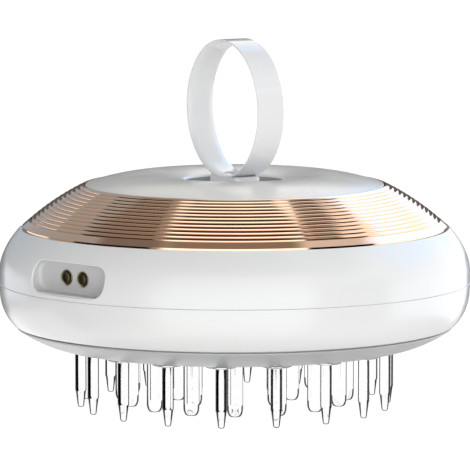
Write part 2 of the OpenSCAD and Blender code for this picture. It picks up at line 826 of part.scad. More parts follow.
// Plate under the cap: it presses the switch, rests on the springs and carries the stop ears
module pusher_plate() color("gainsboro")
    difference() {
        union() {
            translate([0, 0, pusher_z])
                cylinder(r = pusher_r, h = pusher_t);
            translate([0, 0, pusher_z - pusher_pad_h])
                cylinder(r = pusher_pad_r, h = pusher_pad_h + eps);
            ring_of(stop_angles, pusher_r - 2)
                translate([0, -stop_w / 2, pusher_z])
                    cube([guide_r + stop_reach - pusher_r + 2, stop_w, pusher_t]);
        }
        ring_of(stop_angles, pusher_boss_row_r)
            translate([0, 0, pusher_z - 1])
                cylinder(r = small_screw_r + through_fit, h = pusher_t + 2, $fn = 32);
    }

module pusher_screws() color("silver")
    ring_of(stop_angles, pusher_boss_row_r)
        translate([0, 0, pusher_z - face_fit])
            screw_up(small_screw_r, small_screw_len, small_head_r, small_head_h);

module button_springs() color("silver")
    ring_of(spring_angles, spring_row_r)
        sweep([for (i = [0:spring_turns * spring_rings])
            let (a = 360 * i / spring_rings, rise = spring_h - 2 * (spring_wire_r + face_fit))
            [spring_r * cos(a), spring_r * sin(a),
                spring_seat_z + spring_wire_r + face_fit + rise * i / (spring_turns * spring_rings)]],
            spring_wire_r, 6);

// ---------------------------------------------------------------- finger ring

// Band, foot, turntable and stem in one moulding
module finger_ring() color("white")
    rotate([0, 0, ring_turn])
        difference() {
            union() {
                translate([0, ring_w / 2, ring_z])
                    rotate([90, 0, 0])
                        cylinder(r = ring_r, h = ring_w);
                translate([-foot_w / 2, -ring_w / 2, foot_z - eps])
                    cube([foot_w, ring_w, foot_h + eps]);
                translate([0, 0, turntable_z])
                    cylinder(r = cup_r - turntable_play, h = turntable_t);
                translate([0, 0, ring_washer_top_z])
                    cylinder(r = stem_r, h = turntable_z - ring_washer_top_z + eps);
            }
            translate([0, ring_w / 2 + 1, ring_z])
                rotate([90, 0, 0])
                    cylinder(r = ring_r - ring_t, h = ring_w + 2);
            translate([0, 0, ring_washer_top_z - 1])
                cylinder(r = ring_screw_r + screw_fit, h = ring_screw_len + 1.5 - ring_washer_t);
        }

module ring_washer() color("silver")
    translate([0, 0, ring_washer_top_z - ring_washer_t])
        tube(ring_washer_r, ring_screw_r + turn_fit, ring_washer_t);

module ring_screw() color("silver")
    translate([0, 0, ring_washer_top_z - ring_washer_t])
        screw_up(ring_screw_r, ring_screw_len, ring_head_r, ring_head_h);

// ---------------------------------------------------------------- chassis and boards

module chassis() color("darkgray")
    difference() {
        union() {
            translate([0, 0, ear_z])
                cylinder(r = chassis_r, h = chassis_t);
            ring_of(post_angles, post_r)
                translate([0, 0, ear_z])
                    cylinder(r = ear_r, h = chassis_t);
            ring_of(led_angles, led_post_row_r)
                translate([0, 0, led_board_z + board_t])
                    cylinder(r = led_post_r, h = led_drop + eps);
            ring_of(main_post_angles, main_post_row_r)
                translate([0, 0, chassis_top_z - eps])
                    cylinder(r = main_post_r, h = board_lift + eps);
            for (side = [-1, 1])
                translate([motor_x + side * strap_hole_x, 0, ear_z])
                    cylinder(r = strap_lug_r, h = chassis_t);
            motor_cradle();
        }
        ring_of(post_angles, post_r)
            translate([0, 0, ear_z - 1])
                cylinder(r = case_screw_r + through_fit, h = chassis_t + 2);
        ring_of(led_angles, led_post_row_r)
            translate([0, 0, led_board_z])
                cylinder(r = small_screw_r + screw_fit, h = small_screw_len);
        ring_of(main_post_angles, main_post_row_r)
            translate([0, 0, board_z - small_screw_len])
                cylinder(r = small_screw_r + screw_fit, h = small_screw_len + 1);
        for (side = [-1, 1])
            translate([motor_x + side * strap_hole_x, 0, ear_z - 1])
                cylinder(r = small_screw_r + screw_fit, h = chassis_t + 2);
        translate([wire_hole[0], wire_hole[1], ear_z - 1])
            cylinder(r = wire_hole_r, h = chassis_t + 2);
    }

// Two ribs that the motor lies in
module motor_cradle()
    for (side = [-1, 1])
        difference() {
            translate([motor_x - motor_r, side * (motor_len / 2 - cradle_w / 2) - cradle_w / 2,
                chassis_top_z - eps])
                cube([motor_d, cradle_w, cradle_h + eps]);
            motor_cylinder(motor_r + face_fit, motor_len + 2, -motor_len / 2 - 1);
        }

// A cylinder on the motor's axis, from y onwards
module motor_cylinder(r, length, y)
    translate([motor_x, y, motor_z])
        rotate([-90, 0, 0])
            cylinder(r = r, h = length);

module led_board() color("seagreen")
    difference() {
        translate([0, 0, led_board_z])
            tube(led_board_out_r, led_board_in_r, board_t);
        ring_of(led_angles, led_post_row_r)
            translate([0, 0, led_board_z - 1])
                cylinder(r = small_screw_r + through_fit, h = board_t + 2);
    }

module leds() color("lightyellow")
    row_of(led_n, led_row_r)
        translate([0, 0, led_board_z - led_size[2] / 2 - face_fit])
            cube(led_size, center = true);

module led_screws() color("silver")
    ring_of(led_angles, led_post_row_r)
        translate([0, 0, led_board_z - face_fit])
            screw_up(small_screw_r, small_screw_len - 0.5, small_head_r, small_head_h);

module main_board() color("seagreen")
    difference() {
        translate([0, 0, board_z + face_fit])
            cylinder(r = board_r, h = board_t - face_fit);
        ring_of(main_post_angles, main_post_row_r)
            translate([0, 0, board_z - 1])
                cylinder(r = small_screw_r + through_fit, h = board_t + 2);
    }

module board_screws() color("silver")
    ring_of(main_post_angles, main_post_row_r)
        translate([0, 0, board_top_z + face_fit])
            mirror([0, 0, 1])
                screw_up(small_screw_r, small_screw_len, small_head_r, small_head_h);

socket_gap = 5;        // from the main board's post to the middle of the battery socket
socket_x = socket_gap - main_post_row_r;

// Chips on the main board: place, then size
chips = [
    [[6, 6], [5, 4, 1.2]], [[6, -6], [4, 4, 1]], [[-6, 8], [3, 2, 1.4]],
    [[11, 1.5], [2, 1.2, 0.8]], [[11, -1.5], [2, 1.2, 0.8]], [[-2, -11], [5, 3, 1.6]]
];
module board_chips() color("dimgray")
    for (chip = chips)
        translate([chip[0][0], chip[0][1], board_top_z + face_fit + chip[1][2] / 2])
            cube(chip[1], center = true);

module battery_socket() color("ivory")
    translate([socket_x, 0, board_top_z + face_fit + socket_size[2] / 2])
        difference() {
            cube(socket_size, center = true);
            translate([0, 0, 1])
                cube([socket_size[0] - 1.4, socket_size[1] - 1.4, socket_size[2]], center = true);
        }

module switch_body() color("dimgray")
    difference() {
        translate([0, 0, board_top_z + face_fit + switch_size[2] / 2])
            cube(switch_size, center = true);
        translate([0, 0, plunger_top_z - plunger_h - press_travel - seat_fit])
            cylinder(r = plunger_r + turn_fit, h = plunger_h + press_travel + 1);
    }

module switch_plunger() color("black")
    translate([0, 0, plunger_top_z - plunger_h])
        cylinder(r = plunger_r, h = plunger_h);

// ---------------------------------------------------------------- battery and motor

module battery_pad() color("lightyellow")
    translate([battery_x + 2, -battery_len / 2 + 3, chassis_top_z + face_fit])
        cube([battery_w - 4, battery_len - 6, pad_t - face_fit]);

module battery() color("silver")
    translate([battery_x, -battery_len / 2, battery_z])
        cube([battery_w, battery_len, battery_t]);

module motor_can() color("silver")
    difference() {
        union() {
            motor_cylinder(motor_r, motor_len, -motor_len / 2);
            motor_cylinder(shaft_d, weight_gap / 2 + eps, motor_len / 2 - eps);
        }
        motor_cylinder(shaft_d / 2 + turn_fit, shaft_in + 2, motor_len / 2 - shaft_in - seat_fit);
    }

module motor_shaft() color("gainsboro")
    motor_cylinder(shaft_d / 2, shaft_in + shaft_out, motor_len / 2 - shaft_in);

// Half disc that hangs below the shaft
module eccentric_weight() color("goldenrod")
    difference() {
        union() {
            difference() {
                motor_cylinder(weight_r, weight_len, motor_len / 2 + weight_gap);
                translate([motor_x - weight_r - 1, motor_len / 2, motor_z])
                    cube([2 * weight_r + 2, weight_len + 3, weight_r + 1]);
            }
            motor_cylinder(shaft_d / 2 + 0.9, weight_len, motor_len / 2 + weight_gap);
        }
        motor_cylinder(shaft_d / 2, weight_len + 2, motor_len / 2 + weight_gap - 1);
    }

// Steel strap over the motor, screwed down on both sides
module motor_strap() color("lightsteelblue")
    difference() {
        union() {
            difference() {
                union() {
                    motor_cylinder(motor_r + face_fit + strap_t, strap_w, -strap_w / 2);
                    translate([motor_x - motor_r - face_fit - strap_t, -strap_w / 2,
                        chassis_top_z + face_fit])
                        cube([2 * (motor_r + face_fit + strap_t), strap_w, motor_z - chassis_top_z]);
                }
                motor_cylinder(motor_r + face_fit, strap_w + 2, -strap_w / 2 - 1);
                translate([motor_x - motor_r - face_fit, -strap_w, 0])
                    cube([2 * (motor_r + face_fit), 2 * strap_w, motor_z]);
            }
            for (side = [-1, 1])
                translate([motor_x + side * strap_hole_x - strap_foot / 2 - 0.2, -strap_w / 2,
                    chassis_top_z + face_fit])
                    cube([strap_foot + 0.4, strap_w, strap_foot_t]);
        }
        for (side = [-1, 1])
            translate([motor_x + side * strap_hole_x, 0, ear_z])
                cylinder(r = small_screw_r + through_fit, h = chassis_t + strap_foot_t + 2);
        motor_cylinder(motor_r + face_fit, strap_w + 2, -strap_w / 2 - 1);
    }

module strap_screws() color("silver")
    for (side = [-1, 1])
        translate([motor_x + side * strap_hole_x, 0, chassis_top_z + strap_foot_t + 2 * face_fit])
            mirror([0, 0, 1])
                screw_up(small_screw_r, strap_foot_t + chassis_t, small_head_r, small_head_h);

// ---------------------------------------------------------------- charging port

// Plug that closes the recess, with a flange behind the tunnel
module port_insert() color("white")
    difference() {
        union() {
            port_slab(port_w - 2 * seat_fit, port_h - 2 * seat_fit, port_corner - seat_fit,
                port_floor_y, port_flange_y + eps);
            port_slab(port_w + 2 * port_wall, port_h + 2 * port_wall, port_corner,
                port_flange_y, port_flange_y + port_flange_t);
        }
        for (side = [-1, 1]) {
            port_bore(side * contact_pitch / 2, contact_d / 2 + face_fit,
                port_floor_y - 1, port_floor_y + contact_head_t - contact_proud + face_fit);
            port_bore(side * contact_pitch / 2, contact_pin_r + face_fit,
                port_floor_y, port_flange_y + port_flange_t + 1);
            port_bore(side * magnet_x, magnet_r + face_fit,
                port_flange_y + port_flange_t - magnet_t - seat_fit, port_flange_y + port_flange_t + 1);
        }
    }

// A cylinder across the port, from y0 to y1
module port_bore(x, r, y0, y1)
    translate([x, y0, port_z])
        rotate([-90, 0, 0])
            cylinder(r = r, h = y1 - y0, $fn = 48);

module port_seal() color("dimgray")
    difference() {
        port_slab(port_w + 2 * port_wall, port_h + 2 * port_wall, port_corner,
            tunnel_y + face_fit, port_flange_y - face_fit);
        port_slab(port_w + face_fit, port_h + face_fit, port_corner, tunnel_y - 1, port_flange_y + 1);
    }

module charge_contacts() color("goldenrod")
    for (side = [-1, 1]) {
        port_bore(side * contact_pitch / 2, contact_d / 2,
            port_floor_y - contact_proud, port_floor_y - contact_proud + contact_head_t);
        port_bore(side * contact_pitch / 2, contact_pin_r,
            port_floor_y, contact_board_y + board_t + contact_tail);
    }

module port_magnets() color("silver")
    for (side = [-1, 1])
        port_bore(side * magnet_x, magnet_r,
            port_flange_y + port_flange_t - magnet_t, port_flange_y + port_flange_t);

module contact_board() color("seagreen")
    difference() {
        translate([0, contact_board_y + board_t / 2, port_z])
            cube(contact_board_size, center = true);
        for (side = [-1, 1])
            port_bore(side * contact_pitch / 2, contact_pin_r + turn_fit,
                contact_board_y - 1, contact_board_y + board_t + 1);
    }

// ---------------------------------------------------------------- wires

wire_start = 0.1;      // from a wire's end to the face that it is soldered to
wire_lead = 1.5;       // straight stretch next to that face
pad_z = board_top_z + wire_r + face_fit;
tab_depth = 1.5;       // from the battery's upper face down to its tabs
tab_x = battery_x + battery_w - 4;
socket_wire_z = board_top_z + 1.8;

// Hand-set points between the wires' ends, each above the face of the main board
battery_route = [[-18, 18.5, 1], [-13, 12.5, 2.4]];
motor_route = [[20, -12.5, -0.2], [15.5, -9.5, 2.2]];
motor_pad = [13, -7];
contact_route = [[0, -27, -1.9], [0, -19, 1.8]];
contact_pad = [3, -13.5];
led_route = [[-9, -21, -3.2], [-9, -18.5, 1.5], [-9, -14.6, 2]];
led_pad = [-9, -12.6];
function above_board(point) = point + [0, 0, board_top_z];

// From the battery's tabs, over the edge of the main board, to the socket
module battery_wires() color("firebrick")
    for (side = [-1, 1])
        translate([side * wire_pitch / 2, 0, 0])
            wire(concat(
                [for (gap = [wire_start, wire_lead])
                    [tab_x, battery_len / 2 + gap, battery_z + battery_t - tab_depth]],
                [for (point = battery_route) above_board(point)],
                [for (gap = [wire_lead, wire_start])
                    [socket_x, socket_size[1] / 2 + gap, socket_wire_z]]));

// From the motor's rear end to the main board
module motor_wires() color("royalblue")
    for (side = [-1, 1])
        translate([side * wire_pitch / 2, side * wire_pitch / 2, 0])
            wire(concat(
                [for (gap = [wire_start, wire_lead])
                    [motor_x, -motor_len / 2 - wire_pitch / 2 - gap, motor_z]],
                [for (point = motor_route) above_board(point)],
                [[motor_pad[0], motor_pad[1], pad_z]]));

// From the charging contacts' board to the main board
module contact_wires() color("crimson")
    for (side = [-1, 1])
        translate([side * contact_pitch / 2, 0, 0])
            wire(concat(
                [for (gap = [wire_start, wire_lead])
                    [0, contact_board_y + board_t + contact_tail + gap, port_z]],
                [for (point = contact_route) above_board(point)],
                [[contact_pad[0], contact_pad[1], pad_z]]));

// From the light board, through the hole in the chassis, to the main board
module led_wires() color("orange")
    for (side = [-1, 1])
        translate([side * wire_pitch / 2, 0, 0])
            wire(concat(
                [[wire_hole[0], wire_hole[1], led_board_z + board_t + wire_start],
                    [wire_hole[0], wire_hole[1], chassis_top_z]],
                [for (point = led_route) above_board(point)],
                [[led_pad[0], led_pad[1], pad_z]]));

// ---------------------------------------------------------------- nodes

upper_shell();
lower_shell();
seam_seal();
base_plate();
base_gasket();
outer_teeth();
middle_teeth();
inner_teeth();
tooth_clamp();
clamp_screws();
trim_ring();
trim_tape();
button_cap();
button_seal();
pusher_plate();
pusher_screws();
button_springs();
finger_ring();
ring_washer();
ring_screw();
chassis();
case_screws();
led_board();
leds();
led_screws();
main_board();
board_screws();
board_chips();
battery_socket();
switch_body();
switch_plunger();
battery();
battery_pad();
motor_can();
motor_shaft();
eccentric_weight();
motor_strap();
strap_screws();
port_insert();
port_seal();
charge_contacts();
port_magnets();
contact_board();
battery_wires();
motor_wires();
contact_wires();
led_wires();
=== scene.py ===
"""Looks of the electric scalp massager: detailed pieces, materials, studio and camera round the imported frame.

Sizes are in millimetres, in the frame of the part, and become metres where a mesh is made.
"""
import json
import math

import bmesh
import bpy
from mathutils import Matrix, Vector


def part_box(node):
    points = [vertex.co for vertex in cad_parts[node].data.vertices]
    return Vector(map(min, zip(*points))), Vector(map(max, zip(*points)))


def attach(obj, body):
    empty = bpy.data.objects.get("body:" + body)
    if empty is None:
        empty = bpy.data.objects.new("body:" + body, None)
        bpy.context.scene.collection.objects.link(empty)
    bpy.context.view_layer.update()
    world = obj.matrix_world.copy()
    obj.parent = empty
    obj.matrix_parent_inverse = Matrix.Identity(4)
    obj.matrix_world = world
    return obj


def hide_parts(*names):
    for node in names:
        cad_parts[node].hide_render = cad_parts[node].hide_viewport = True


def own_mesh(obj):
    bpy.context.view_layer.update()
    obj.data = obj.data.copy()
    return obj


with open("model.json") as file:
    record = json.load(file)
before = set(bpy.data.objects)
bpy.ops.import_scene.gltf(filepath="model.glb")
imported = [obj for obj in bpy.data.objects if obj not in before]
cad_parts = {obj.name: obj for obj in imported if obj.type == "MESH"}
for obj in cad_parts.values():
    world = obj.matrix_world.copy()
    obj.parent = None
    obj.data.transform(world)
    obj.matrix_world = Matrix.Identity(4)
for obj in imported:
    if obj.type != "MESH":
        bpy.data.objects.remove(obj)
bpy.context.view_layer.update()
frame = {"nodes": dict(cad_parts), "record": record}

MM = 0.001
SHARP = 35.0


def node_box(name):
    """Lowest and highest corner of a CAD node, in millimetres."""
    low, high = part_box(name)
    return [c / MM for c in low], [c / MM for c in high]


# ------------------------------------------------------------------ sizes

# Heights and radii that the frame gives
BODY_R = node_box("upper_shell")[1][0]
SHELL_LOW_Z = node_box("lower_shell")[0][2]
SEAM_Z = node_box("lower_shell")[1][2]
TRIM_TOP_Z = node_box("trim_ring")[1][2]
BASE_Z = node_box("base_plate")[0][2]
RIM_R = node_box("base_plate")[1][0]
CAP_R = node_box("button_cap")[1][0]
CUP_T = 1.6
CUP_FLOOR_Z = node_box("ring_washer")[1][2] + 0.1 + CUP_T
PORT_FLOOR_Y = node_box("port_insert")[0][1]
RING_TOP_Z = node_box("finger_ring")[1][2]
SPRING_LOW, SPRING_HIGH = node_box("button_springs")

# Body
BELT_Z = SEAM_Z + 2.85
TRIM_LOW_Z = SEAM_Z + 12.12
UPPER_DRAW = 4.4
LOWER_DRAW = 3.1
UPPER_CURVE = 1.95
LOWER_CURVE = 3.46
SEAM_GAP = 0.05
SEAM_EDGE = 0.06
SEAM_LINE_Z = SEAM_Z + 0.95
WALL = 2.0
LIP_H = 2.0
LIP_T = 1.1
LIP_PLAY = 0.15
FLANGE_R = 37.5
FLANGE_T = 1.6

# The bed of the trim ring and the guide of the button cap, in the upper shell
BED_DEPTH = 1.15
BED_BACK = 2.95
GUIDE_PLAY = 0.08
GUIDE_T = 1.6
GUIDE_LOW_Z = 33.5
GUIDE_JOIN_Z = 41.4

# Trim ring
TRIM_IN_R = CAP_R + 0.25
TRIM_OUT_R = BODY_R - UPPER_DRAW - 0.2
TRIM_CROWN = 0.58
TRIM_T = 1.0
TRIM_BEVEL = 0.27
TRIM_GAP = 0.2
GROOVE_N = 12
GROOVE_FIRST = 1.3
PLAIN_BAND = 2.25
GROOVE_W = 0.54
GROOVE_DEPTH = 0.38
GROOVE_WALL = 0.18
RIDGE_CROWN = 0.02
RIDGE_BEVEL = 0.34
RIDGE_BEVEL_DEPTH = 0.13

# Button cap and cup
CAP_EDGE_Z = TRIM_TOP_Z - 0.2
CAP_CROWN = 2.2
RIDGE_R = 18.0
DISH_DEPTH = 1.25
CUP_R = 10.2
CUP_EDGE_Z = CAP_EDGE_Z + CAP_CROWN - DISH_DEPTH
CAP_T = 1.5
SKIRT_H = 3.8
SKIRT_T = 1.4
STEM_HOLE_R = 3.05

# Finger ring
RING_R = 14.1
RING_W = 6.1
RING_T = 0.85
RING_EDGE_T = 0.35
RING_TURN = math.radians(-14)
RING_Z = RING_TOP_Z - RING_R
FOOT_W = 11.0
FOOT_LOW_Z = CUP_FLOOR_Z + 1.3
FOOT_HIGH_Z = FOOT_LOW_Z + 2.4
TURNTABLE_R = 9.9

# Base plate and teeth
BORDER_W = 8.95
BASE_RISE = 3.6
BASE_CURVE = 1.6
BASE_T = 1.8
BASE_TOP_R = 39.5
OUTER_ROW = (18, 31.5)
MIDDLE_ROW = (16, 22.8)
INNER_ROW = (8, 11.6)
HEAD_Z = BASE_Z + BASE_T + 0.4
HEAD_T = 1.2
TOOTH_H = 12.2
POINT_R = 1.15
TIP_R = 0.6
TIP_H = 3.3
TIP_ROUND = 0.45
COLLAR_R = 3.05
ROUND_R = 1.6
ROUND_END_R = 0.85
ROUND_END_W = 0.75
ROUND_END_H = 1.65
ROUND_BORE_R = 0.95
ROUND_SHORT = 1.05
BORE_FLOOR_T = 1.5
HOLE_FIT = 0.1

# Springs under the button
SPRING_R = 2.0
SPRING_WIRE_R = 0.3
SPRING_TURNS = 4
SPRING_ANGLES = (60, 180, 300)

# Charging port
PORT_W = 20.4
PORT_H = 6.1
PORT_CORNER = PORT_H * 0.42
PORT_Z = SEAM_Z + 5.15
CONTACT_R = 1.55
CONTACT_PITCH = 4.6
CONTACT_PROUD = 0.25


# ------------------------------------------------------------------ outlines


def spread(first, last, steps):
    """Evenly spaced values from first to last, both included."""
    return [first + (last - first) * i / steps for i in range(steps + 1)]


def arc(first, last, steps):
    """Cosine and sine of evenly spaced angles, in degrees."""
    return [(math.cos(math.radians(a)), math.sin(math.radians(a))) for a in spread(first, last, steps)]


def smoothed(corners, steps):
    """A closed outline from corners (x, y, fillet radius), with an arc at each corner that has a radius."""
    points = []
    count = len(corners)
    for i, (x, y, radius) in enumerate(corners):
        here = Vector((x, y))
        if radius <= 0:
            points.append((x, y))
            continue
        back = (Vector(corners[i - 1][:2]) - here).normalized()
        ahead = (Vector(corners[(i + 1) % count][:2]) - here).normalized()
        half = math.acos(max(-1, min(1, back.dot(ahead)))) / 2
        centre = here + (back + ahead).normalized() * radius / math.sin(half)
        start = here + back * radius / math.tan(half) - centre
        end = here + ahead * radius / math.tan(half) - centre
        for t in spread(0, 1, steps):
            points.append(tuple(centre + start.slerp(end, t) * radius))
    return points


def side_r(z):
    """Radius of the body's side at height z."""
    if z >= BELT_Z:
        return BODY_R - UPPER_DRAW * ((z - BELT_Z) / (TRIM_LOW_Z - BELT_Z)) ** UPPER_CURVE
    return BODY_R - LOWER_DRAW * ((BELT_Z - z) / (BELT_Z - SHELL_LOW_Z)) ** LOWER_CURVE


def side_line(z0, z1, inset=0.0, steps=40):
    """The body's side between two heights, or a line inset from it."""
    return [(side_r(z) - inset, z) for z in spread(z0, z1, steps)]


TRIM_A = Vector((TRIM_IN_R, TRIM_TOP_Z))
TRIM_B = Vector((TRIM_OUT_R, TRIM_LOW_Z))
TRIM_LEN = (TRIM_B - TRIM_A).length
TRIM_DIR = (TRIM_B - TRIM_A) / TRIM_LEN
TRIM_UP = Vector((-TRIM_DIR.y, TRIM_DIR.x))


def trim_pt(s, lift=0.0):
    """A point of the trim ring's face, s down from its top lip and lift above it."""
    bulge = 4 * TRIM_CROWN * (s / TRIM_LEN) * (1 - s / TRIM_LEN)
    return tuple(TRIM_A + TRIM_DIR * s + TRIM_UP * (lift + bulge))


def cap_z(r):
    """Height of the button cap's face at radius r."""
    if r > RIDGE_R:
        return CAP_EDGE_Z + CAP_CROWN * (1 - ((r - RIDGE_R) / (CAP_R - RIDGE_R)) ** 2)
    return CAP_EDGE_Z + CAP_CROWN - DISH_DEPTH * ((RIDGE_R - r) / (RIDGE_R - CUP_R)) ** 2


def base_low(r):
    """Height of the base plate's underside at radius r."""
    flat_r = RIM_R - BORDER_W
    if r <= flat_r:
        return BASE_Z
    return BASE_Z + BASE_RISE * ((r - flat_r) / BORDER_W) ** BASE_CURVE


# ------------------------------------------------------------------ mesh tools


def to_mesh(name, points, faces, sharp=SHARP):
    """A mesh object from points in millimetres, shaded smooth except over sharp edges."""
    mesh = bpy.data.meshes.new(name)
    mesh.from_pydata([(x * MM, y * MM, z * MM) for x, y, z in points], [], faces)
    mesh.validate()
    work = bmesh.new()
    work.from_mesh(mesh)
    bmesh.ops.recalc_face_normals(work, faces=work.faces)
    work.to_mesh(mesh)
    work.free()
    shade(mesh, sharp)
    piece = bpy.data.objects.new(name, mesh)
    bpy.context.scene.collection.objects.link(piece)
    return piece


def shade(mesh, sharp=SHARP):
    """Smooth shading, with sharp edges where two faces meet at more than that angle in degrees."""
    mesh.polygons.foreach_set("use_smooth", [True] * len(mesh.polygons))
    mesh.set_sharp_from_angle(angle=math.radians(sharp))
    mesh.update()


def lathe_mesh(outline, segments, closed=True):
    """Points and faces of an outline turned about Z. An open outline starts and ends on the axis."""
    rings, points = [], []
    for r, z in outline:
        if r < 1e-6:
            rings.append([len(points)])
            points.append((0.0, 0.0, z))
            continue
        rings.append(list(range(len(points), len(points) + segments)))
        for k in range(segments):
            a = 2 * math.pi * k / segments
            points.append((r * math.cos(a), r * math.sin(a), z))
    pairs = list(zip(rings, rings[1:]))
    if closed:
        pairs.append((rings[-1], rings[0]))
    faces = []
    for low, high in pairs:
        for k in range(segments):
            n = (k + 1) % segments
            if len(low) == 1 and len(high) == 1:
                break
            if len(low) == 1:
                faces.append((low[0], high[k], high[n]))
            elif len(high) == 1:
                faces.append((low[k], high[0], low[n]))
            else:
                faces.append((low[k], high[k], high[n], low[n]))
    return points, faces


def lathe(name, outline, segments=256, closed=True, sharp=SHARP):
    """An object turned about Z from an outline of (radius, height)."""
    points, faces = lathe_mesh(outline, segments, closed)
    return to_mesh(name, points, faces, sharp)


def copies(name, points, faces, places):
    """One object with a copy of the mesh at each (x, y, z) place."""
    all_points, all_faces = [], []
    for px, py, pz in places:
        start = len(all_points)
        all_points += [(x + px, y + py, z + pz) for x, y, z in points]
        all_faces += [tuple(start + i for i in face) for face in faces]
    return to_mesh(name, all_points, all_faces)


def ring_places(radius, angles):
    """Points on a circle round the body's axis, at angles in degrees."""
    turns = [math.radians(a) for a in angles]
    return [(radius * math.cos(a), radius * math.sin(a), 0.0) for a in turns]


def row_places(row):
    """Feet of a row of teeth: the first is nearest the port."""
    count, radius = row
    return ring_places(radius, [-90 + 360 * i / count for i in range(count)])


def combine(piece, other, operation):
    """Applies a boolean with another object, which is then deleted."""
    modifier = piece.modifiers.new("combine", "BOOLEAN")
    modifier.operation = operation
    modifier.solver = "EXACT"
    modifier.object = other
    evaluated = piece.evaluated_get(bpy.context.evaluated_depsgraph_get())
    mesh = bpy.data.meshes.new_from_object(evaluated)
    piece.modifiers.clear()
    old = piece.data
    piece.data = mesh
    bpy.data.meshes.remove(old)
    bpy.data.objects.remove(other)
    shade(mesh)
    return piece


def slab_outline(w, h, corner, steps=10):
    """Outline of a slab with round corners, about its middle, with its outward directions."""
    points = []
    for cx, cy, start in [(1, 1, 0), (-1, 1, 90), (-1, -1, 180), (1, -1, 270)]:
        for ux, uy in arc(start, start + 90, steps):
            points.append((cx * (w / 2 - corner) + ux * corner, cy * (h / 2 - corner) + uy * corner, ux, uy))
    return points


def loops_mesh(loops, closed=False):
    """Points and faces of a skin through loops of equally many points.

    It is capped at both ends, or closed to a ring.
    """
    count = len(loops[0])
    points = [p for loop in loops for p in loop]
    faces = []
    if not closed:
        faces = [tuple(range(count))[::-1], tuple(range(len(points) - count, len(points)))]
    for i in range(len(loops) - (0 if closed else 1)):
        ahead = (i + 1) % len(loops)
        for k in range(count):
            n = (k + 1) % count
            faces.append((i * count + k, i * count + n, ahead * count + n, ahead * count + k))
    return points, faces


def dress(piece, body, slot, coats, nodes):
    """Gives a piece its materials and body, and hides the CAD nodes that it stands for. The slot is not used.
    """
    for coat in coats:
        piece.data.materials.append(looks[coat])
    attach(piece, body)
    if nodes:
        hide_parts(*nodes)


# ------------------------------------------------------------------ material tools

LEVEL = (1, 1, 0)
UPWARDS = (0, 0, 1)

# Clear plastic. Its painted dark sides, painted shade of the space under the body, change between two distances
# along a direction, in millimetres
TOOTH_IOR = 1.2
DARK_ACROSS = (0.7, 0.7, 0)
DARK_ENDS = (-5, 14)
DARK_SOFT = 0.05


class Nodes:
    """A node tree, with short ways to add nodes and join them."""

    def __init__(self, tree):
        self.tree = tree

    def add(self, kind, **settings):
        node = self.tree.nodes.new(kind)
        for key, value in settings.items():
            setattr(node, key, value)
        return node

    def put(self, value, socket):
        """Gives a socket another node's output, or a number, vector or colour."""
        if isinstance(value, bpy.types.NodeSocket):
            self.tree.links.new(value, socket)
        elif socket.type == "RGBA":
            socket.default_value = (*value, 1)
        else:
            socket.default_value = value

    def math(self, operation, first, second=0.0):
        node = self.add("ShaderNodeMath", operation=operation)
        self.put(first, node.inputs[0])
        self.put(second, node.inputs[1])
        return node.outputs[0]

    def vector(self, operation, first, second=(0.0, 0.0, 0.0)):
        """Vector maths: DOT_PRODUCT and LENGTH give a number, the others a vector."""
        node = self.add("ShaderNodeVectorMath", operation=operation)
        self.put(first, node.inputs[0])
        self.put(second, node.inputs[1])
        return node.outputs["Value" if operation in ("DOT_PRODUCT", "LENGTH") else "Vector"]

    def ramp(self, value, low, high, from_low=0.3, from_high=0.7, **settings):
        """Maps a value onto a range, for a roughness or a height."""
        node = self.add("ShaderNodeMapRange", **settings)
        node.inputs["From Min"].default_value = from_low
        node.inputs["From Max"].default_value = from_high
        self.put(low, node.inputs["To Min"])
        self.put(high, node.inputs["To Max"])
        self.put(value, node.inputs["Value"])
        return node.outputs["Result"]

    def blend(self, value, first, second):
        """A colour between two, by a value from 0 to 1."""
        node = self.add("ShaderNodeMix", data_type="RGBA")
        self.put(value, node.inputs[0])
        self.put(first, node.inputs[6])
        self.put(second, node.inputs[7])
        return node.outputs[2]

    def mix_shaders(self, value, first, second):
        node = self.add("ShaderNodeMixShader")
        self.put(value, node.inputs[0])
        self.put(first, node.inputs[1])
        self.put(second, node.inputs[2])
        return node.outputs[0]


class Shader(Nodes):
    """A material with one main shader."""

    def __init__(self, name):
        self.material = bpy.data.materials.new(name)
        self.material.use_nodes = True
        super().__init__(self.material.node_tree)
        self.bsdf = self.tree.nodes["Principled BSDF"]

    def set(self, **values):
        """Constant values on the shader's own sockets, such as IOR=1.5 or Coat_Weight=0.2."""
        for key, value in values.items():
            self.bsdf.inputs[key.replace("_", " ")].default_value = value
        return self

    def coords(self):
        """Object coordinates in metres, which don't move with the camera."""
        return self.add("ShaderNodeTexCoord").outputs["Object"]

    def noise(self, scale, detail=3.0):
        node = self.add("ShaderNodeTexNoise")
        node.inputs["Scale"].default_value = scale
        node.inputs["Detail"].default_value = detail
        self.put(self.coords(), node.inputs["Vector"])
        return node.outputs["Fac"]

    def colour(self, output):
        self.put(output, self.bsdf.inputs["Base Color"])

    def rough(self, output):
        self.put(output, self.bsdf.inputs["Roughness"])

    def bump(self, height, distance):
        node = self.add("ShaderNodeBump")
        node.inputs["Strength"].default_value = 1.0
        node.inputs["Distance"].default_value = distance
        self.put(height, node.inputs["Height"])
        self.put(node.outputs["Normal"], self.bsdf.inputs["Normal"])


def moulded(name, first, second, rough, **sockets):
    """Moulded plastic: two close tones, a roughness that varies a little, and a fine grain."""
    shader = Shader(name)
    shader.colour(shader.blend(shader.ramp(shader.noise(30.0), 0, 1), first, second))
    shader.rough(shader.ramp(shader.noise(120.0), *rough))
    shader.bump(shader.noise(900.0, detail=4.0), 0.000004)
    return shader.set(**sockets).material


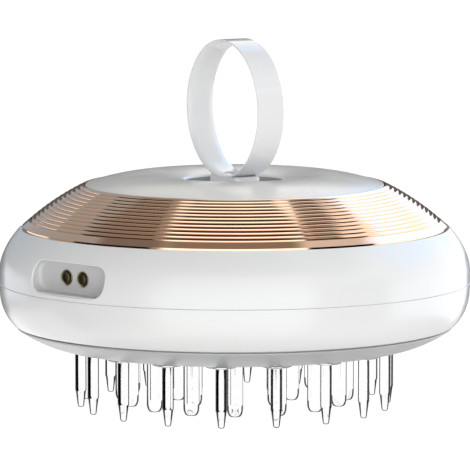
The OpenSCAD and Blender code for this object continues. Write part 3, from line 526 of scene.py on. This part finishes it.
def plated(name, first, second, rough, grain=1500.0, depth=0.000003):
    """Metal: two close tones in soft patches, with fine wear in its roughness."""
    shader = Shader(name)
    shader.colour(shader.blend(shader.ramp(shader.noise(60.0), 0, 1), first, second))
    shader.rough(shader.ramp(shader.noise(400.0, detail=6.0), *rough))
    shader.bump(shader.noise(grain), depth)
    return shader.set(Metallic=1.0).material


def turned_gold():
    """Rose gold, polished on a lathe: faint rings about the body's axis in its roughness and relief."""
    shader = Shader("turned_rose_gold")
    radius = shader.vector("LENGTH", shader.vector("MULTIPLY", shader.coords(), LEVEL))
    rings = shader.add("ShaderNodeTexNoise", noise_dimensions="1D")
    rings.inputs["Scale"].default_value = 9000.0
    rings.inputs["Detail"].default_value = 2.0
    shader.put(radius, rings.inputs["W"])
    tone = shader.ramp(shader.noise(25.0), 0, 1)
    shader.colour(shader.blend(tone, (0.86, 0.555, 0.37), (0.82, 0.525, 0.35)))
    shader.rough(shader.ramp(rings.outputs["Fac"], 0.05, 0.09))
    shader.bump(rings.outputs["Fac"], 0.0000006)
    return shader.set(Metallic=1.0).material


def clear_plastic(name, dark_from, wide, thin, tip, layers=0):
    """Clear moulded plastic with painted dark sides, which paint the shade of the space under the body as seen
    through the plastic.

    The sides are darker on the side away from dark_from, a point (x, y) under the body. Each limit is the
    least slant that is dark: wide on the away side, from one end of the body to the other, thin on the near
    side, and tip below the shank. The dark shows through that many layers of clear plastic, and no more.
    """
    shader = Shader(name)
    geometry = shader.add("ShaderNodeNewGeometry")
    place = geometry.outputs["Position"]
    height = shader.vector("DOT_PRODUCT", place, UPWARDS)
    offset = shader.vector("SUBTRACT", place, (dark_from[0] * MM, dark_from[1] * MM, 0))
    outwards = shader.vector("NORMALIZE", shader.vector("MULTIPLY", offset, LEVEL))
    turned = shader.vector("DOT_PRODUCT", outwards, geometry.outputs["Normal"])
    across = shader.vector("DOT_PRODUCT", place, DARK_ACROSS)
    away = shader.ramp(across, *wide, *(end * MM for end in DARK_ENDS))
    side = shader.ramp(turned, thin, away, -0.35, 0.0)
    least = shader.ramp(height, tip, side, TIP_H * MM, (TIP_H + 0.2) * MM)
    # Painted shade: the slanted sides take a dark colour, for the shaded space under the body
    facing = shader.add("ShaderNodeLayerWeight").outputs["Facing"]
    dark = shader.ramp(shader.math("SUBTRACT", facing, least), 0, 1, 0.0, DARK_SOFT)
    below_collar = shader.ramp(height, 1, 0, (TOOTH_H - 0.4) * MM, (TOOTH_H - 0.2) * MM)
    passed = shader.add("ShaderNodeLightPath").outputs["Transmission Depth"]
    seen = shader.ramp(passed, 1, 0, layers + 0.4, layers + 0.6)
    painted_edge_shade = shader.math("MULTIPLY", shader.math("MULTIPLY", dark, below_collar), seen)
    shader.colour(shader.blend(painted_edge_shade, (1.0, 1.0, 1.0), (0.0, 0.0, 0.0)))
    shader.rough(shader.ramp(shader.noise(200.0), 0.0, 0.01))
    shader.bump(shader.noise(350.0), 0.000001)
    return shader.set(Transmission_Weight=1.0, IOR=TOOTH_IOR).material


def printed_board():
    """Green solder resist with pale tracks."""
    shader = Shader("board_green")
    tracks = shader.add("ShaderNodeTexBrick")
    tracks.inputs["Scale"].default_value = 260.0
    tracks.inputs["Mortar Size"].default_value = 0.06
    shader.put((0.02, 0.16, 0.06), tracks.inputs["Color1"])
    shader.put((0.02, 0.19, 0.08), tracks.inputs["Color2"])
    shader.put((0.10, 0.34, 0.14), tracks.inputs["Mortar"])
    shader.put(shader.coords(), tracks.inputs["Vector"])
    shader.colour(tracks.outputs["Color"])
    shader.rough(shader.ramp(shader.noise(300.0), 0.3, 0.45))
    shader.bump(tracks.outputs["Fac"], 0.00002)
    return shader.set(Coat_Weight=0.3, Coat_Roughness=0.2).material


def materials():
    """A material for each slot of the record, and some more for parts of a piece."""
    return {
        "shell_white": moulded("shell_white", (0.815, 0.815, 0.805), (0.805, 0.805, 0.795), (0.16, 0.22),
                               IOR=1.5, Coat_Weight=0.15, Coat_Roughness=0.1),
        "cap_white": moulded("cap_white", (0.81, 0.785, 0.74), (0.80, 0.775, 0.73), (0.2, 0.28), IOR=1.5),
        # Painted shade: the cap's plastic in a darker grey, for the wall inside its cup
        "cup_painted_shade": moulded("cup_painted_shade", (0.34, 0.34, 0.34), (0.33, 0.33, 0.33), (0.2, 0.28), IOR=1.5),
        "ring_white": moulded("ring_white", (0.83, 0.83, 0.83), (0.82, 0.82, 0.82), (0.03, 0.06), IOR=1.5),
        # Darker grey for the charging recess; on the shell's own recess walls it is painted shade
        "port_white": moulded("port_white", (0.59, 0.59, 0.585), (0.57, 0.57, 0.565), (0.35, 0.45), IOR=1.5),
        "base_grey": moulded("base_grey", (0.46, 0.46, 0.46), (0.45, 0.45, 0.45), (0.3, 0.4), IOR=1.5),
        # Painted shade: the clear teeth darken their slanted sides, for the shaded space under the body
        "tooth_clear": clear_plastic("tooth_clear", (18.0, -10.0), (0.07, 0.2), 0.4, 0.28),
        "tooth_round": clear_plastic("tooth_clear_round", (22.0, 4.0), (0.4, 0.5), 0.6, 0.36),
        "tooth_bore": clear_plastic("tooth_clear_bore", (22.0, 4.0), (0.24, 0.4), 0.6, 0.95, layers=1),
        "trim_rose_gold": turned_gold(),
        "contact_gold": plated("contact_gold", (0.46, 0.40, 0.24), (0.40, 0.34, 0.20), (0.12, 0.2)),
        "seal_rubber": moulded("seal_rubber", (0.55, 0.55, 0.54), (0.5, 0.5, 0.49), (0.6, 0.75)),
        "inner_white": moulded("inner_white", (0.7, 0.7, 0.69), (0.66, 0.66, 0.65), (0.4, 0.55)),
        "inner_grey": moulded("inner_grey", (0.11, 0.11, 0.115), (0.09, 0.09, 0.095), (0.4, 0.55)),
        "tape": moulded("tape", (0.62, 0.52, 0.26), (0.55, 0.46, 0.22), (0.35, 0.6)),
        "screw_steel": plated("screw_steel", (0.45, 0.45, 0.46), (0.38, 0.38, 0.39), (0.25, 0.4)),
        "spring_steel": plated("spring_steel", (0.40, 0.40, 0.41), (0.34, 0.34, 0.35), (0.2, 0.35)),
        "board_green": printed_board(),
        "chip_black": moulded("chip_black", (0.02, 0.02, 0.02), (0.03, 0.03, 0.03), (0.45, 0.6)),
        "led_lens": moulded("led_lens", (0.95, 0.9, 0.6), (0.9, 0.84, 0.5), (0.1, 0.2), Coat_Weight=0.5),
        "battery_foil": plated("battery_foil", (0.6, 0.61, 0.63), (0.52, 0.53, 0.55), (0.35, 0.5),
                               250.0, 0.00004),
        "motor_steel": plated("motor_steel", (0.5, 0.5, 0.51), (0.44, 0.44, 0.45), (0.25, 0.4)),
        "weight_brass": plated("weight_brass", (0.6, 0.44, 0.18), (0.52, 0.38, 0.15), (0.25, 0.4)),
        "magnet_nickel": plated("magnet_nickel", (0.55, 0.54, 0.51), (0.5, 0.49, 0.46), (0.1, 0.2)),
        "wire_red": moulded("wire_red", (0.4, 0.01, 0.01), (0.35, 0.01, 0.01), (0.35, 0.5)),
        "wire_blue": moulded("wire_blue", (0.01, 0.03, 0.35), (0.01, 0.02, 0.3), (0.35, 0.5)),
    }


# ------------------------------------------------------------------ pieces


def port_tool():
    """What is cut out of the shell: the recess, with a soft lip where it meets the side."""
    lip = 0.3
    proud = 2.0
    behind_floor = 1.5
    outline = slab_outline(PORT_W, PORT_H, PORT_CORNER)

    def loop(offset, depth):
        points = []
        for x, z, ux, uz in outline:
            px, pz = x + ux * offset, PORT_Z + z + uz * offset
            points.append((px, depth - math.sqrt(side_r(pz) ** 2 - px * px), pz))
        return points

    loops = [loop(lip, -proud)]
    loops += [loop(lip * (1 - sin), lip * (1 - cos)) for cos, sin in arc(0, 90, 8)]
    loops.append([(x, PORT_FLOOR_Y + behind_floor, PORT_Z + z) for x, z, ux, uz in outline])
    points, faces = loops_mesh(loops)
    return to_mesh("port_tool", points, faces)


def port_cove():
    """The hollow corner between the floor of the recess and its walls."""
    cove = 0.7
    play = 0.02
    outline = slab_outline(PORT_W, PORT_H, PORT_CORNER)
    section = [(play, 0.0)]
    section += [(play + cove * (1 - cos), -cove * (1 - sin) - 0.01) for cos, sin in arc(0, 90, 8)]
    section.append((play + cove, 0.0))
    loops = []
    for inset, proud in section:
        y = PORT_FLOOR_Y + proud
        loops.append([(x - ux * inset, y, PORT_Z + z - uz * inset) for x, z, ux, uz in outline])
    points, faces = loops_mesh(loops, closed=True)
    return to_mesh("port_cove", points, faces)


def upper_shell():
    """The upper shell. The walls of the charging recess take the second material, a darker grey that paints the
    shade in the recess.
    """
    low = SEAM_LINE_Z + SEAM_GAP
    trim_end = TRIM_LEN + TRIM_GAP
    guide_r = CAP_R + GUIDE_PLAY
    back_r = guide_r + GUIDE_T
    lip_r = side_r(SEAM_Z - LIP_H) - WALL - LIP_PLAY
    lip_in_r = lip_r - LIP_T
    outline = [(side_r(low) - SEAM_EDGE, low), (side_r(low + SEAM_EDGE), low + SEAM_EDGE)]
    outline += side_line(low + SEAM_EDGE, trim_pt(trim_end)[1], steps=64)[1:]
    outline += [trim_pt(trim_end, -BED_DEPTH)]
    outline += [trim_pt(s, -BED_DEPTH) for s in spread(TRIM_LEN, 0.7, 12)]
    outline += [(guide_r, TRIM_TOP_Z - 1.2), (guide_r, GUIDE_LOW_Z)]
    outline += [(back_r, GUIDE_LOW_Z), (back_r, GUIDE_JOIN_Z)]
    outline += [trim_pt(s, -BED_BACK) for s in spread(2.4, TRIM_LEN, 8)]
    outline += side_line(TRIM_LOW_Z - 2.6, low + LIP_H, WALL, 24)
    outline += [(lip_in_r, low + LIP_H), (lip_in_r, low - LIP_H), (lip_r, low - LIP_H), (lip_r, low)]
    piece = combine(lathe("shell_upper", outline, 360), port_tool(), "DIFFERENCE")
    for face in piece.data.polygons:
        x, y, z = face.center / MM
        in_port = y < 0 and abs(x) < PORT_W / 2 + 0.05 and abs(z - PORT_Z) < PORT_H / 2 + 0.05
        face.material_index = int(in_port and math.hypot(x, y) < side_r(z) - 0.2)
    return piece


def lower_shell():
    """The lower shell, open below for the base plate."""
    edge_z = SHELL_LOW_Z + 0.1
    outline = [(side_r(SHELL_LOW_Z) - 0.35, SHELL_LOW_Z), (side_r(edge_z) - 0.05, edge_z)]
    outline += side_line(SHELL_LOW_Z + 0.3, SEAM_LINE_Z - SEAM_EDGE, steps=48)
    outline += [(side_r(SEAM_LINE_Z) - SEAM_EDGE, SEAM_LINE_Z)]
    outline += side_line(SEAM_LINE_Z, SHELL_LOW_Z + FLANGE_T, WALL, 16)
    outline += [(FLANGE_R, SHELL_LOW_Z + FLANGE_T), (FLANGE_R, SHELL_LOW_Z)]
    return lathe("shell_lower", outline, 360)


def trim_ring():
    """The turned trim ring: ridges with bevelled upper sides between its grooves, and a plain band below."""
    pitch = (TRIM_LEN - GROOVE_FIRST - PLAIN_BAND) / (GROOVE_N - 1)
    last = 0.3
    outline = [(TRIM_IN_R, TRIM_TOP_Z - 0.34), trim_pt(0.1, -0.12), trim_pt(last)]
    for i in range(GROOVE_N):
        start = GROOVE_FIRST + i * pitch - GROOVE_W / 2
        crown = RIDGE_CROWN if i else 0.0
        edge = start - RIDGE_BEVEL
        outline += [trim_pt(last + (edge - last) * t, crown * 4 * t * (1 - t)) for t in spread(0, 1, 6)[1:]]
        outline += [trim_pt(start - 0.02, -RIDGE_BEVEL_DEPTH), trim_pt(start, -RIDGE_BEVEL_DEPTH - 0.01)]
        outline += [trim_pt(start + GROOVE_WALL, -GROOVE_DEPTH)]
        last = start + GROOVE_W
        outline += [trim_pt(last)]
    outline += [trim_pt(s) for s in spread(last, TRIM_LEN - TRIM_BEVEL, 6)[1:]]
    outline += [trim_pt(TRIM_LEN, -TRIM_BEVEL)]
    outline += [trim_pt(s, -TRIM_T) for s in spread(TRIM_LEN, 0.6, 8)]
    outline += [(TRIM_IN_R, TRIM_TOP_Z - 0.9)]
    return lathe("trim_ring_turned", outline, 360, sharp=20.0)


def button_cap():
    """The dished cap. The wall of its cup takes the second material, a darker grey that paints the shade inside
    the cup.
    """
    lip = 0.3
    edge_z = cap_z(CAP_R - lip)
    skirt_z = CAP_EDGE_Z - SKIRT_H
    skirt_r = CAP_R - SKIRT_T
    back_z = CUP_FLOOR_Z - CUP_T
    outline = [(STEM_HOLE_R, CUP_FLOOR_Z)]
    outline += [(CUP_R - 0.6, CUP_FLOOR_Z), (CUP_R - 0.18, CUP_FLOOR_Z + 0.18), (CUP_R, CUP_FLOOR_Z + 0.6)]
    outline += [(CUP_R, CUP_EDGE_Z - lip)]
    outline += [(CUP_R + lip * (1 - cos), CUP_EDGE_Z - lip * (1 - sin)) for cos, sin in arc(0, 70, 5)]
    outline += [(r, cap_z(r)) for r in spread(CUP_R + 0.45, CAP_R - 0.35, 60)]
    outline += [(CAP_R - lip * (1 - sin), edge_z - lip * (1 - cos)) for cos, sin in arc(20, 90, 5)]
    outline += [(CAP_R, skirt_z), (skirt_r, skirt_z), (skirt_r, CAP_EDGE_Z - 1)]
    outline += [(r, cap_z(r) - CAP_T) for r in spread(CAP_R - 3, CUP_R + CAP_T, 12)]
    outline += [(CUP_R + CAP_T, back_z), (STEM_HOLE_R, back_z)]
    piece = lathe("cap_dished", outline, 360)
    for face in piece.data.polygons:
        r, z = face.center.xy.length / MM, face.center.z / MM
        face.material_index = int(CUP_R - 1 < r < CUP_R + 0.02 and CUP_FLOOR_Z < z < CUP_EDGE_Z - lip)
    return piece


def stand_up(piece):
    """Turns a piece from the body's axis to the finger ring's own, which is level."""
    turn = Matrix.Rotation(math.radians(90), 4, "X")
    piece.data.transform(Matrix.Translation((0, 0, RING_Z * MM)) @ turn)
    return piece


def finger_ring():
    """The finger ring: its band, the foot that blends into it, and the turntable under the foot."""
    in_r = RING_R - RING_T
    half_w = RING_W / 2
    edge = 0.08
    band = [(in_r + (RING_T - RING_EDGE_T) * t ** 4, t * (half_w - 0.04)) for t in spread(1, -1, 16)]
    band += [(RING_R - edge, -half_w), (RING_R, -half_w + edge)]
    band += [(RING_R, half_w - edge), (RING_R - edge, half_w)]
    piece = stand_up(lathe("finger_ring_band", band, 192))
    outline = slab_outline(FOOT_W, RING_W, 1.2, 6)
    rounded = [(0, FOOT_HIGH_Z - 0.5), (0.15, FOOT_HIGH_Z - 0.15), (0.5, FOOT_HIGH_Z)]
    loops = []
    for inset, z in [(0, FOOT_LOW_Z - 0.6)] + rounded:
        loops.append([(x - ux * inset, y - uy * inset, z) for x, y, ux, uy in outline])
    foot = to_mesh("foot", *loops_mesh(loops))
    inside = [(0, -RING_W), (in_r, -RING_W), (in_r, RING_W), (0, RING_W)]
    combine(foot, stand_up(lathe("inside", inside, 192, closed=False)), "DIFFERENCE")
    combine(piece, foot, "UNION")
    low = CUP_FLOOR_Z + 0.1
    disc = [(0, low), (TURNTABLE_R - 0.1, low), (TURNTABLE_R, low + 0.1), (TURNTABLE_R, low + 0.9)]
    disc += [(TURNTABLE_R - 0.3, low + 1.2), (0, low + 1.2)]
    combine(piece, lathe("turntable", disc, 128, closed=False), "UNION")
    piece.data.transform(Matrix.Rotation(RING_TURN, 4, "Z"))
    return piece


def tooth_cutter(name, radius, row):
    """Cylinders that cut the holes for a row of teeth."""
    low, high = BASE_Z - 2, BASE_Z + 4
    outline = [(0, low), (radius, low), (radius, high), (0, high)]
    points, faces = lathe_mesh(outline, 48, closed=False)
    return copies(name, points, faces, row_places(row))


def base_plate():
    """The base plate, with holes for the teeth and a shadow groove under the lower shell."""
    flat_r = RIM_R - BORDER_W
    top_z = SHELL_LOW_Z - 0.05
    outline = [(0, BASE_Z), (12, BASE_Z), (24, BASE_Z)]
    outline += [(r, base_low(r)) for r in spread(flat_r, RIM_R - 0.2, 24)]
    outline += [(RIM_R - 0.05, base_low(RIM_R - 0.05)), (RIM_R, base_low(RIM_R) + 0.1)]
    outline += [(RIM_R - 0.02, SHELL_LOW_Z - 0.34), (RIM_R - 0.1, SHELL_LOW_Z - 0.28)]
    outline += [(RIM_R - 0.6, SHELL_LOW_Z - 0.26), (RIM_R - 0.6, top_z), (BASE_TOP_R, top_z)]
    outline += [(r, base_low(r) + BASE_T) for r in spread(BASE_TOP_R, flat_r, 4)]
    outline += [(0, BASE_Z + BASE_T)]
    piece = lathe("base_curved", outline, 256, closed=False)
    combine(piece, tooth_cutter("cut_outer", COLLAR_R + HOLE_FIT, OUTER_ROW), "DIFFERENCE")
    combine(piece, tooth_cutter("cut_middle", ROUND_R + HOLE_FIT, MIDDLE_ROW), "DIFFERENCE")
    return combine(piece, tooth_cutter("cut_inner", ROUND_R + HOLE_FIT, INNER_ROW), "DIFFERENCE")


def pointed_teeth():
    """The outer row: a blunt cone, a shank, a round collar, and a head above the base plate."""
    shank_low_r = POINT_R - 0.1
    tip = smoothed([(-TIP_R, 0.0, 0.0), (TIP_R, 0.0, TIP_ROUND), (shank_low_r, TIP_H, 0.0), (0, TIP_H, 0)], 8)
    outline = [(0, 0)] + [(x, y) for x, y in tip if x > 0.01 and y < TIP_H - 0.01]
    outline += [(shank_low_r, TIP_H), (POINT_R, TIP_H + 0.15)]
    outline += [(POINT_R, z) for z in spread(4, TOOTH_H - 0.3, 4)]
    outline += [(POINT_R + 0.08, TOOTH_H - 0.08), (POINT_R + 0.3, TOOTH_H)]
    outline += [(COLLAR_R - 0.2, TOOTH_H), (COLLAR_R - 0.05, TOOTH_H + 0.05), (COLLAR_R, TOOTH_H + 0.2)]
    outline += [(COLLAR_R, HEAD_Z), (COLLAR_R + 0.4, HEAD_Z)]
    outline += [(COLLAR_R + 0.4, HEAD_Z + HEAD_T), (0, HEAD_Z + HEAD_T)]
    points, faces = lathe_mesh(outline, 48, closed=False)
    return copies("teeth_pointed", points, faces, row_places(OUTER_ROW))


def round_teeth(name, row):
    """Hollow teeth. Their bores take the second material, with painted dark sides that show through the outer
    wall.
    """
    head_r = ROUND_R + 0.9
    bore_low = ROUND_SHORT + BORE_FLOOR_T
    outline = [(0, ROUND_SHORT)]
    outline += [(ROUND_END_R + ROUND_END_W * sin, ROUND_SHORT + ROUND_END_H * (1 - cos))
                for cos, sin in arc(0, 90, 10)]
    outline += [(ROUND_R, z) for z in spread(4, HEAD_Z, 4)]
    outline += [(head_r, HEAD_Z), (head_r, HEAD_Z + HEAD_T), (ROUND_BORE_R, HEAD_Z + HEAD_T)]
    outline += [(ROUND_BORE_R * cos, bore_low + ROUND_BORE_R * (1 - sin)) for cos, sin in arc(0, 80, 6)]
    outline += [(0, bore_low)]
    points, faces = lathe_mesh(outline, 48, closed=False)
    places = row_places(row)
    piece = copies(name, points, faces, places)
    middle_r = (ROUND_R + ROUND_BORE_R) / 2 * MM
    axes = [Vector((x * MM, y * MM)) for x, y, z in places]
    for face in piece.data.polygons:
        near = min((face.center.xy - axis).length for axis in axes)
        face.material_index = int(near < middle_r and face.center.z > (bore_low - 0.05) * MM)
    return piece


def contacts():
    """The two turned charging contacts, with their pins."""
    rim = 0.12
    pin_r = 0.8
    head_t = 0.8
    face_y = PORT_FLOOR_Y - CONTACT_PROUD
    pin_end = PORT_FLOOR_Y + 5.2
    outline = [(0, face_y + 0.06), (CONTACT_R * 0.6, face_y + 0.04), (CONTACT_R - rim, face_y)]
    outline += [(CONTACT_R - 0.02, face_y + 0.05), (CONTACT_R, face_y + rim), (CONTACT_R, face_y + head_t)]
    outline += [(pin_r, face_y + head_t), (pin_r, pin_end), (0, pin_end)]
    points, faces = lathe_mesh([(r, y - face_y) for r, y in outline], 64, closed=False)
    turned = [(x, z + face_y, -y) for x, y, z in points]
    places = [(side * CONTACT_PITCH / 2, 0.0, PORT_Z) for side in (-1, 1)]
    return copies("contacts_turned", turned, faces, places)


def springs():
    """The button's return springs: round wire, wound with a flat half turn at each end."""
    rise = SPRING_HIGH[2] - SPRING_LOW[2] - 2 * SPRING_WIRE_R
    row_r = -SPRING_LOW[0] - SPRING_R - SPRING_WIRE_R
    loops = []
    for turn in spread(0, SPRING_TURNS, 32 * SPRING_TURNS):
        a = 2 * math.pi * turn
        share = min(max((turn - 0.5) / (SPRING_TURNS - 1), 0), 1)
        z = SPRING_LOW[2] + SPRING_WIRE_R + rise * share
        loop = []
        for b in spread(0, 2 * math.pi, 12)[:-1]:
            r = SPRING_R + SPRING_WIRE_R * math.cos(b)
            loop.append((r * math.cos(a), r * math.sin(a), z + SPRING_WIRE_R * math.sin(b)))
        loops.append(loop)
    points, faces = loops_mesh(loops)
    return copies("springs_wound", points, faces, ring_places(row_r, SPRING_ANGLES))


def shorten(piece):
    """Gives the springs a mesh of their own."""
    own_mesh(piece)


# ------------------------------------------------------------------ studio and camera

CAMERA_AZIMUTH = math.radians(44.8)
CAMERA_ELEVATION = math.radians(6.3)
CAMERA_DISTANCE = 0.893
LOOK_AT = Vector((0.0, 0.0, 0.037))
SENSOR_W = 36.0
FOCAL_PX = 4.906 * 893
IMAGE_PX = 470
LOOK_AT_PX = (234.67, 225.03)


def make_camera():
    """The camera, at the photograph's angle and distance."""
    a, e = CAMERA_AZIMUTH, CAMERA_ELEVATION
    back = Vector((math.sin(a) * math.cos(e), -math.cos(a) * math.cos(e), math.sin(e)))
    data = bpy.data.cameras.new("camera")
    data.sensor_width = SENSOR_W
    data.lens = SENSOR_W * FOCAL_PX / IMAGE_PX
    data.shift_x = (IMAGE_PX / 2 - LOOK_AT_PX[0]) / IMAGE_PX
    data.shift_y = (LOOK_AT_PX[1] - IMAGE_PX / 2) / IMAGE_PX
    data.clip_start = 0.01
    camera = bpy.data.objects.new("camera", data)
    camera.location = LOOK_AT + back * CAMERA_DISTANCE
    camera.rotation_euler = back.to_track_quat("Z", "Y").to_euler()
    bpy.context.scene.collection.objects.link(camera)
    bpy.context.scene.camera = camera


class Sky(Nodes):
    """The studio: light by direction, as azimuth from the camera's side and elevation, in degrees."""

    def __init__(self):
        world = bpy.data.worlds.new("studio")
        bpy.context.scene.world = world
        world.use_nodes = True
        super().__init__(world.node_tree)
        direction = self.add("ShaderNodeTexCoord").outputs["Generated"]
        a = CAMERA_AZIMUTH
        front = self.vector("DOT_PRODUCT", direction, (math.sin(a), -math.cos(a), 0))
        right = self.vector("DOT_PRODUCT", direction, (math.cos(a), math.sin(a), 0))
        up = self.vector("DOT_PRODUCT", direction, UPWARDS)
        self.azimuth = self.math("MULTIPLY", self.math("ARCTAN2", right, front), 180 / math.pi)
        self.elevation = self.math("MULTIPLY", self.math("ARCSINE", up), 180 / math.pi)

    def step(self, value, edge, soft):
        """0 below the edge and 1 above it, with a soft change over soft degrees on both sides."""
        return self.ramp(value, 0, 1, edge - soft, edge + soft, interpolation_type="SMOOTHSTEP")

    def window(self, value, low, high, soft):
        return self.math("SUBTRACT", self.step(value, low, soft), self.step(value, high, soft))

    def area(self, azimuths, elevations, soft_azimuth, soft_elevation):
        """1 inside a soft-edged patch of the sky, 0 outside."""
        across = self.window(self.azimuth, *azimuths, soft_azimuth)
        return self.math("MULTIPLY", across, self.window(self.elevation, *elevations, soft_elevation))


# Patches of the sky, later ones over earlier ones: azimuths, elevations, softness in both, and the colour
SKY_BASE = (0.40, 0.40, 0.39)
SKY = [
    ((-400, 400), (-120, -14), 1.0, 6.0, (0.85, 0.85, 0.84)),
    ((-400, -96), (-50, -14), 6.0, 6.0, (1.5, 1.5, 1.49)),
    ((-400, 400), (-120, -56), 1.0, 8.0, (0.33, 0.33, 0.33)),
    ((-39, 40), (-45, 44), 5.0, 5.0, (1.62, 1.62, 1.59)),
    ((40, 400), (-14, 70), 5.0, 6.0, (1.4, 1.4, 1.38)),
    ((60, 150), (50, 72), 6.0, 5.0, (0.8, 0.85, 0.95)),
    ((-60, 54), (44, 72), 5.0, 4.0, (0.06, 0.05, 0.04)),
    ((40, 80), (-45, 24), 3.0, 6.0, (0.45, 0.45, 0.45)),
    ((100, 171), (6, 50), 3.0, 4.0, (1.15, 1.8, 2.85)),
    ((96, 145), (6, 22), 3.0, 4.0, (1.8, 1.8, 1.85)),
    ((84, 156), (-20, 10), 3.0, 4.0, (2.0, 2.0, 2.15)),
    ((-96, -46), (-40, 30), 4.0, 6.0, (0.35, 0.35, 0.35)),
    ((-170, -96), (4, 54), 3.0, 4.0, (0.40, 0.48, 0.57)),
    ((-145, -96), (50, 70), 3.0, 3.0, (0.22, 0.22, 0.23)),
    ((-400, 400), (72, 120), 1.0, 3.0, (0.28, 0.27, 0.26)),
    ((-400, -150), (56, 68), 3.0, 3.0, (0.95, 1.3, 1.65)),
    ((150, 400), (54, 68), 3.0, 3.0, (0.95, 1.35, 1.7)),
    ((-400, -168), (24, 50), 3.0, 4.0, (1.28, 1.26, 1.2)),
    ((168, 400), (24, 50), 3.0, 4.0, (1.95, 1.92, 1.84)),
    ((-400, -170), (-14, 22), 3.0, 4.0, (0.12, 0.12, 0.12)),
    ((171, 400), (-14, 22), 2.0, 4.0, (0.12, 0.12, 0.12)),
    ((156, 400), (-14, 0), 2.0, 1.5, (0.02, 0.02, 0.02)),
    ((-400, -152), (-14, 0), 2.0, 1.5, (0.02, 0.02, 0.02)),
    ((-152, -120), (-10, 2), 2.0, 2.0, (1.25, 1.3, 1.45)),
    ((-39, 40), (-20, 20), 3.0, 4.0, (1.8, 1.95, 2.1)),
    ((40, 80), (-26, 20), 1.5, 4.0, (0.0, 0.0, 0.0)),
    ((44, 74), (30, 46), 4.0, 4.0, (0.3, 0.3, 0.3)),
    ((56, 84), (44, 56), 4.0, 4.0, (0.3, 0.3, 0.3)),
    ((68, 94), (54, 64), 4.0, 4.0, (0.3, 0.3, 0.3)),
    ((-100, -50), (30, 64), 4.0, 5.0, (0.29, 0.28, 0.27)),
    ((-96, -46), (-26, 20), 1.5, 4.0, (0.02, 0.015, 0.012)),
]


def make_sky():
    """The studio: tinted in reflections, neutral as light, and plain white round the object.

    It is plain white through the clear teeth too.
    """
    sky = Sky()
    light = SKY_BASE
    for azimuths, elevations, soft_azimuth, soft_elevation, colour in SKY:
        light = sky.blend(sky.area(azimuths, elevations, soft_azimuth, soft_elevation), light, colour)
    path = sky.add("ShaderNodeLightPath").outputs
    neutral = sky.add("ShaderNodeRGBToBW")
    sky.put(light, neutral.inputs[0])
    background = sky.tree.nodes["Background"]
    sky.put(sky.blend(path["Is Diffuse Ray"], light, neutral.outputs[0]), background.inputs["Color"])
    plain = sky.add("ShaderNodeBackground")
    sky.put((1, 1, 1), plain.inputs["Color"])
    straight = sky.math("MAXIMUM", path["Is Camera Ray"], path["Is Transmission Ray"])
    studio = sky.mix_shaders(straight, background.outputs[0], plain.outputs[0])
    sky.put(studio, sky.tree.nodes["World Output"].inputs[0])


def make_floor():
    """A pale floor under the tips of the teeth. Seen from below it is clear."""
    reach = 4.0
    corners = [(-reach, -reach, 0), (reach, -reach, 0), (reach, reach, 0), (-reach, reach, 0)]
    mesh = bpy.data.meshes.new("floor")
    mesh.from_pydata(corners, [], [(0, 1, 2, 3)])
    floor = bpy.data.objects.new("floor", mesh)
    bpy.context.scene.collection.objects.link(floor)
    shader = Shader("floor_pale")
    shader.set(Base_Color=(0.1, 0.1, 0.1, 1), Specular_IOR_Level=0.0)
    shader.set(Emission_Color=(1, 1, 1, 1), Emission_Strength=0.98)
    below = shader.add("ShaderNodeNewGeometry").outputs["Backfacing"]
    clear = shader.add("ShaderNodeBsdfTransparent").outputs[0]
    sides = shader.mix_shaders(below, shader.bsdf.outputs[0], clear)
    shader.put(sides, shader.tree.nodes["Material Output"].inputs[0])
    mesh.materials.append(shader.material)
    floor.visible_diffuse = False
    floor.visible_glossy = False
    floor.visible_shadow = False


# ------------------------------------------------------------------ the scene

bpy.context.scene.view_settings.view_transform = "Standard"
make_camera()
make_sky()
make_floor()

looks = materials()
slot_of = {row["node"]: row["material_slot"] for row in frame["record"]["subparts"]}
for node_name, node in frame["nodes"].items():
    node.data.materials.clear()
    node.data.materials.append(looks[slot_of[node_name]])

# Pieces: mesh, body, record slot, materials, and the nodes that it replaces
PIECES = [
    (lower_shell(), "housing", "shell_white", ["shell_white"], ["lower_shell"]),
    (trim_ring(), "housing", "trim_rose_gold", ["trim_rose_gold"], ["trim_ring"]),
    (finger_ring(), "ring", "ring_white", ["ring_white"], ["finger_ring"]),
    (base_plate(), "housing", "base_grey", ["base_grey"], ["base_plate"]),
    (pointed_teeth(), "housing", "tooth_clear", ["tooth_clear"], ["outer_teeth"]),
    (port_cove(), "housing", "port_white", ["port_white"], []),
    (contacts(), "housing", "contact_gold", ["contact_gold"], ["charge_contacts"]),
    (springs(), "housing", "spring_steel", ["spring_steel"], ["button_springs"]),
    (upper_shell(), "housing", "shell_white", ["shell_white", "port_white"], ["upper_shell"]),
    (button_cap(), "button", "cap_white", ["cap_white", "cup_painted_shade"], ["button_cap"]),
    (round_teeth("teeth_middle", MIDDLE_ROW), "housing", "tooth_clear", ["tooth_round", "tooth_bore"],
     ["middle_teeth"]),
    (round_teeth("teeth_inner", INNER_ROW), "housing", "tooth_clear", ["tooth_round", "tooth_bore"],
     ["inner_teeth"]),
]
for row in PIECES:
    dress(*row)
shorten(bpy.data.objects["springs_wound"])
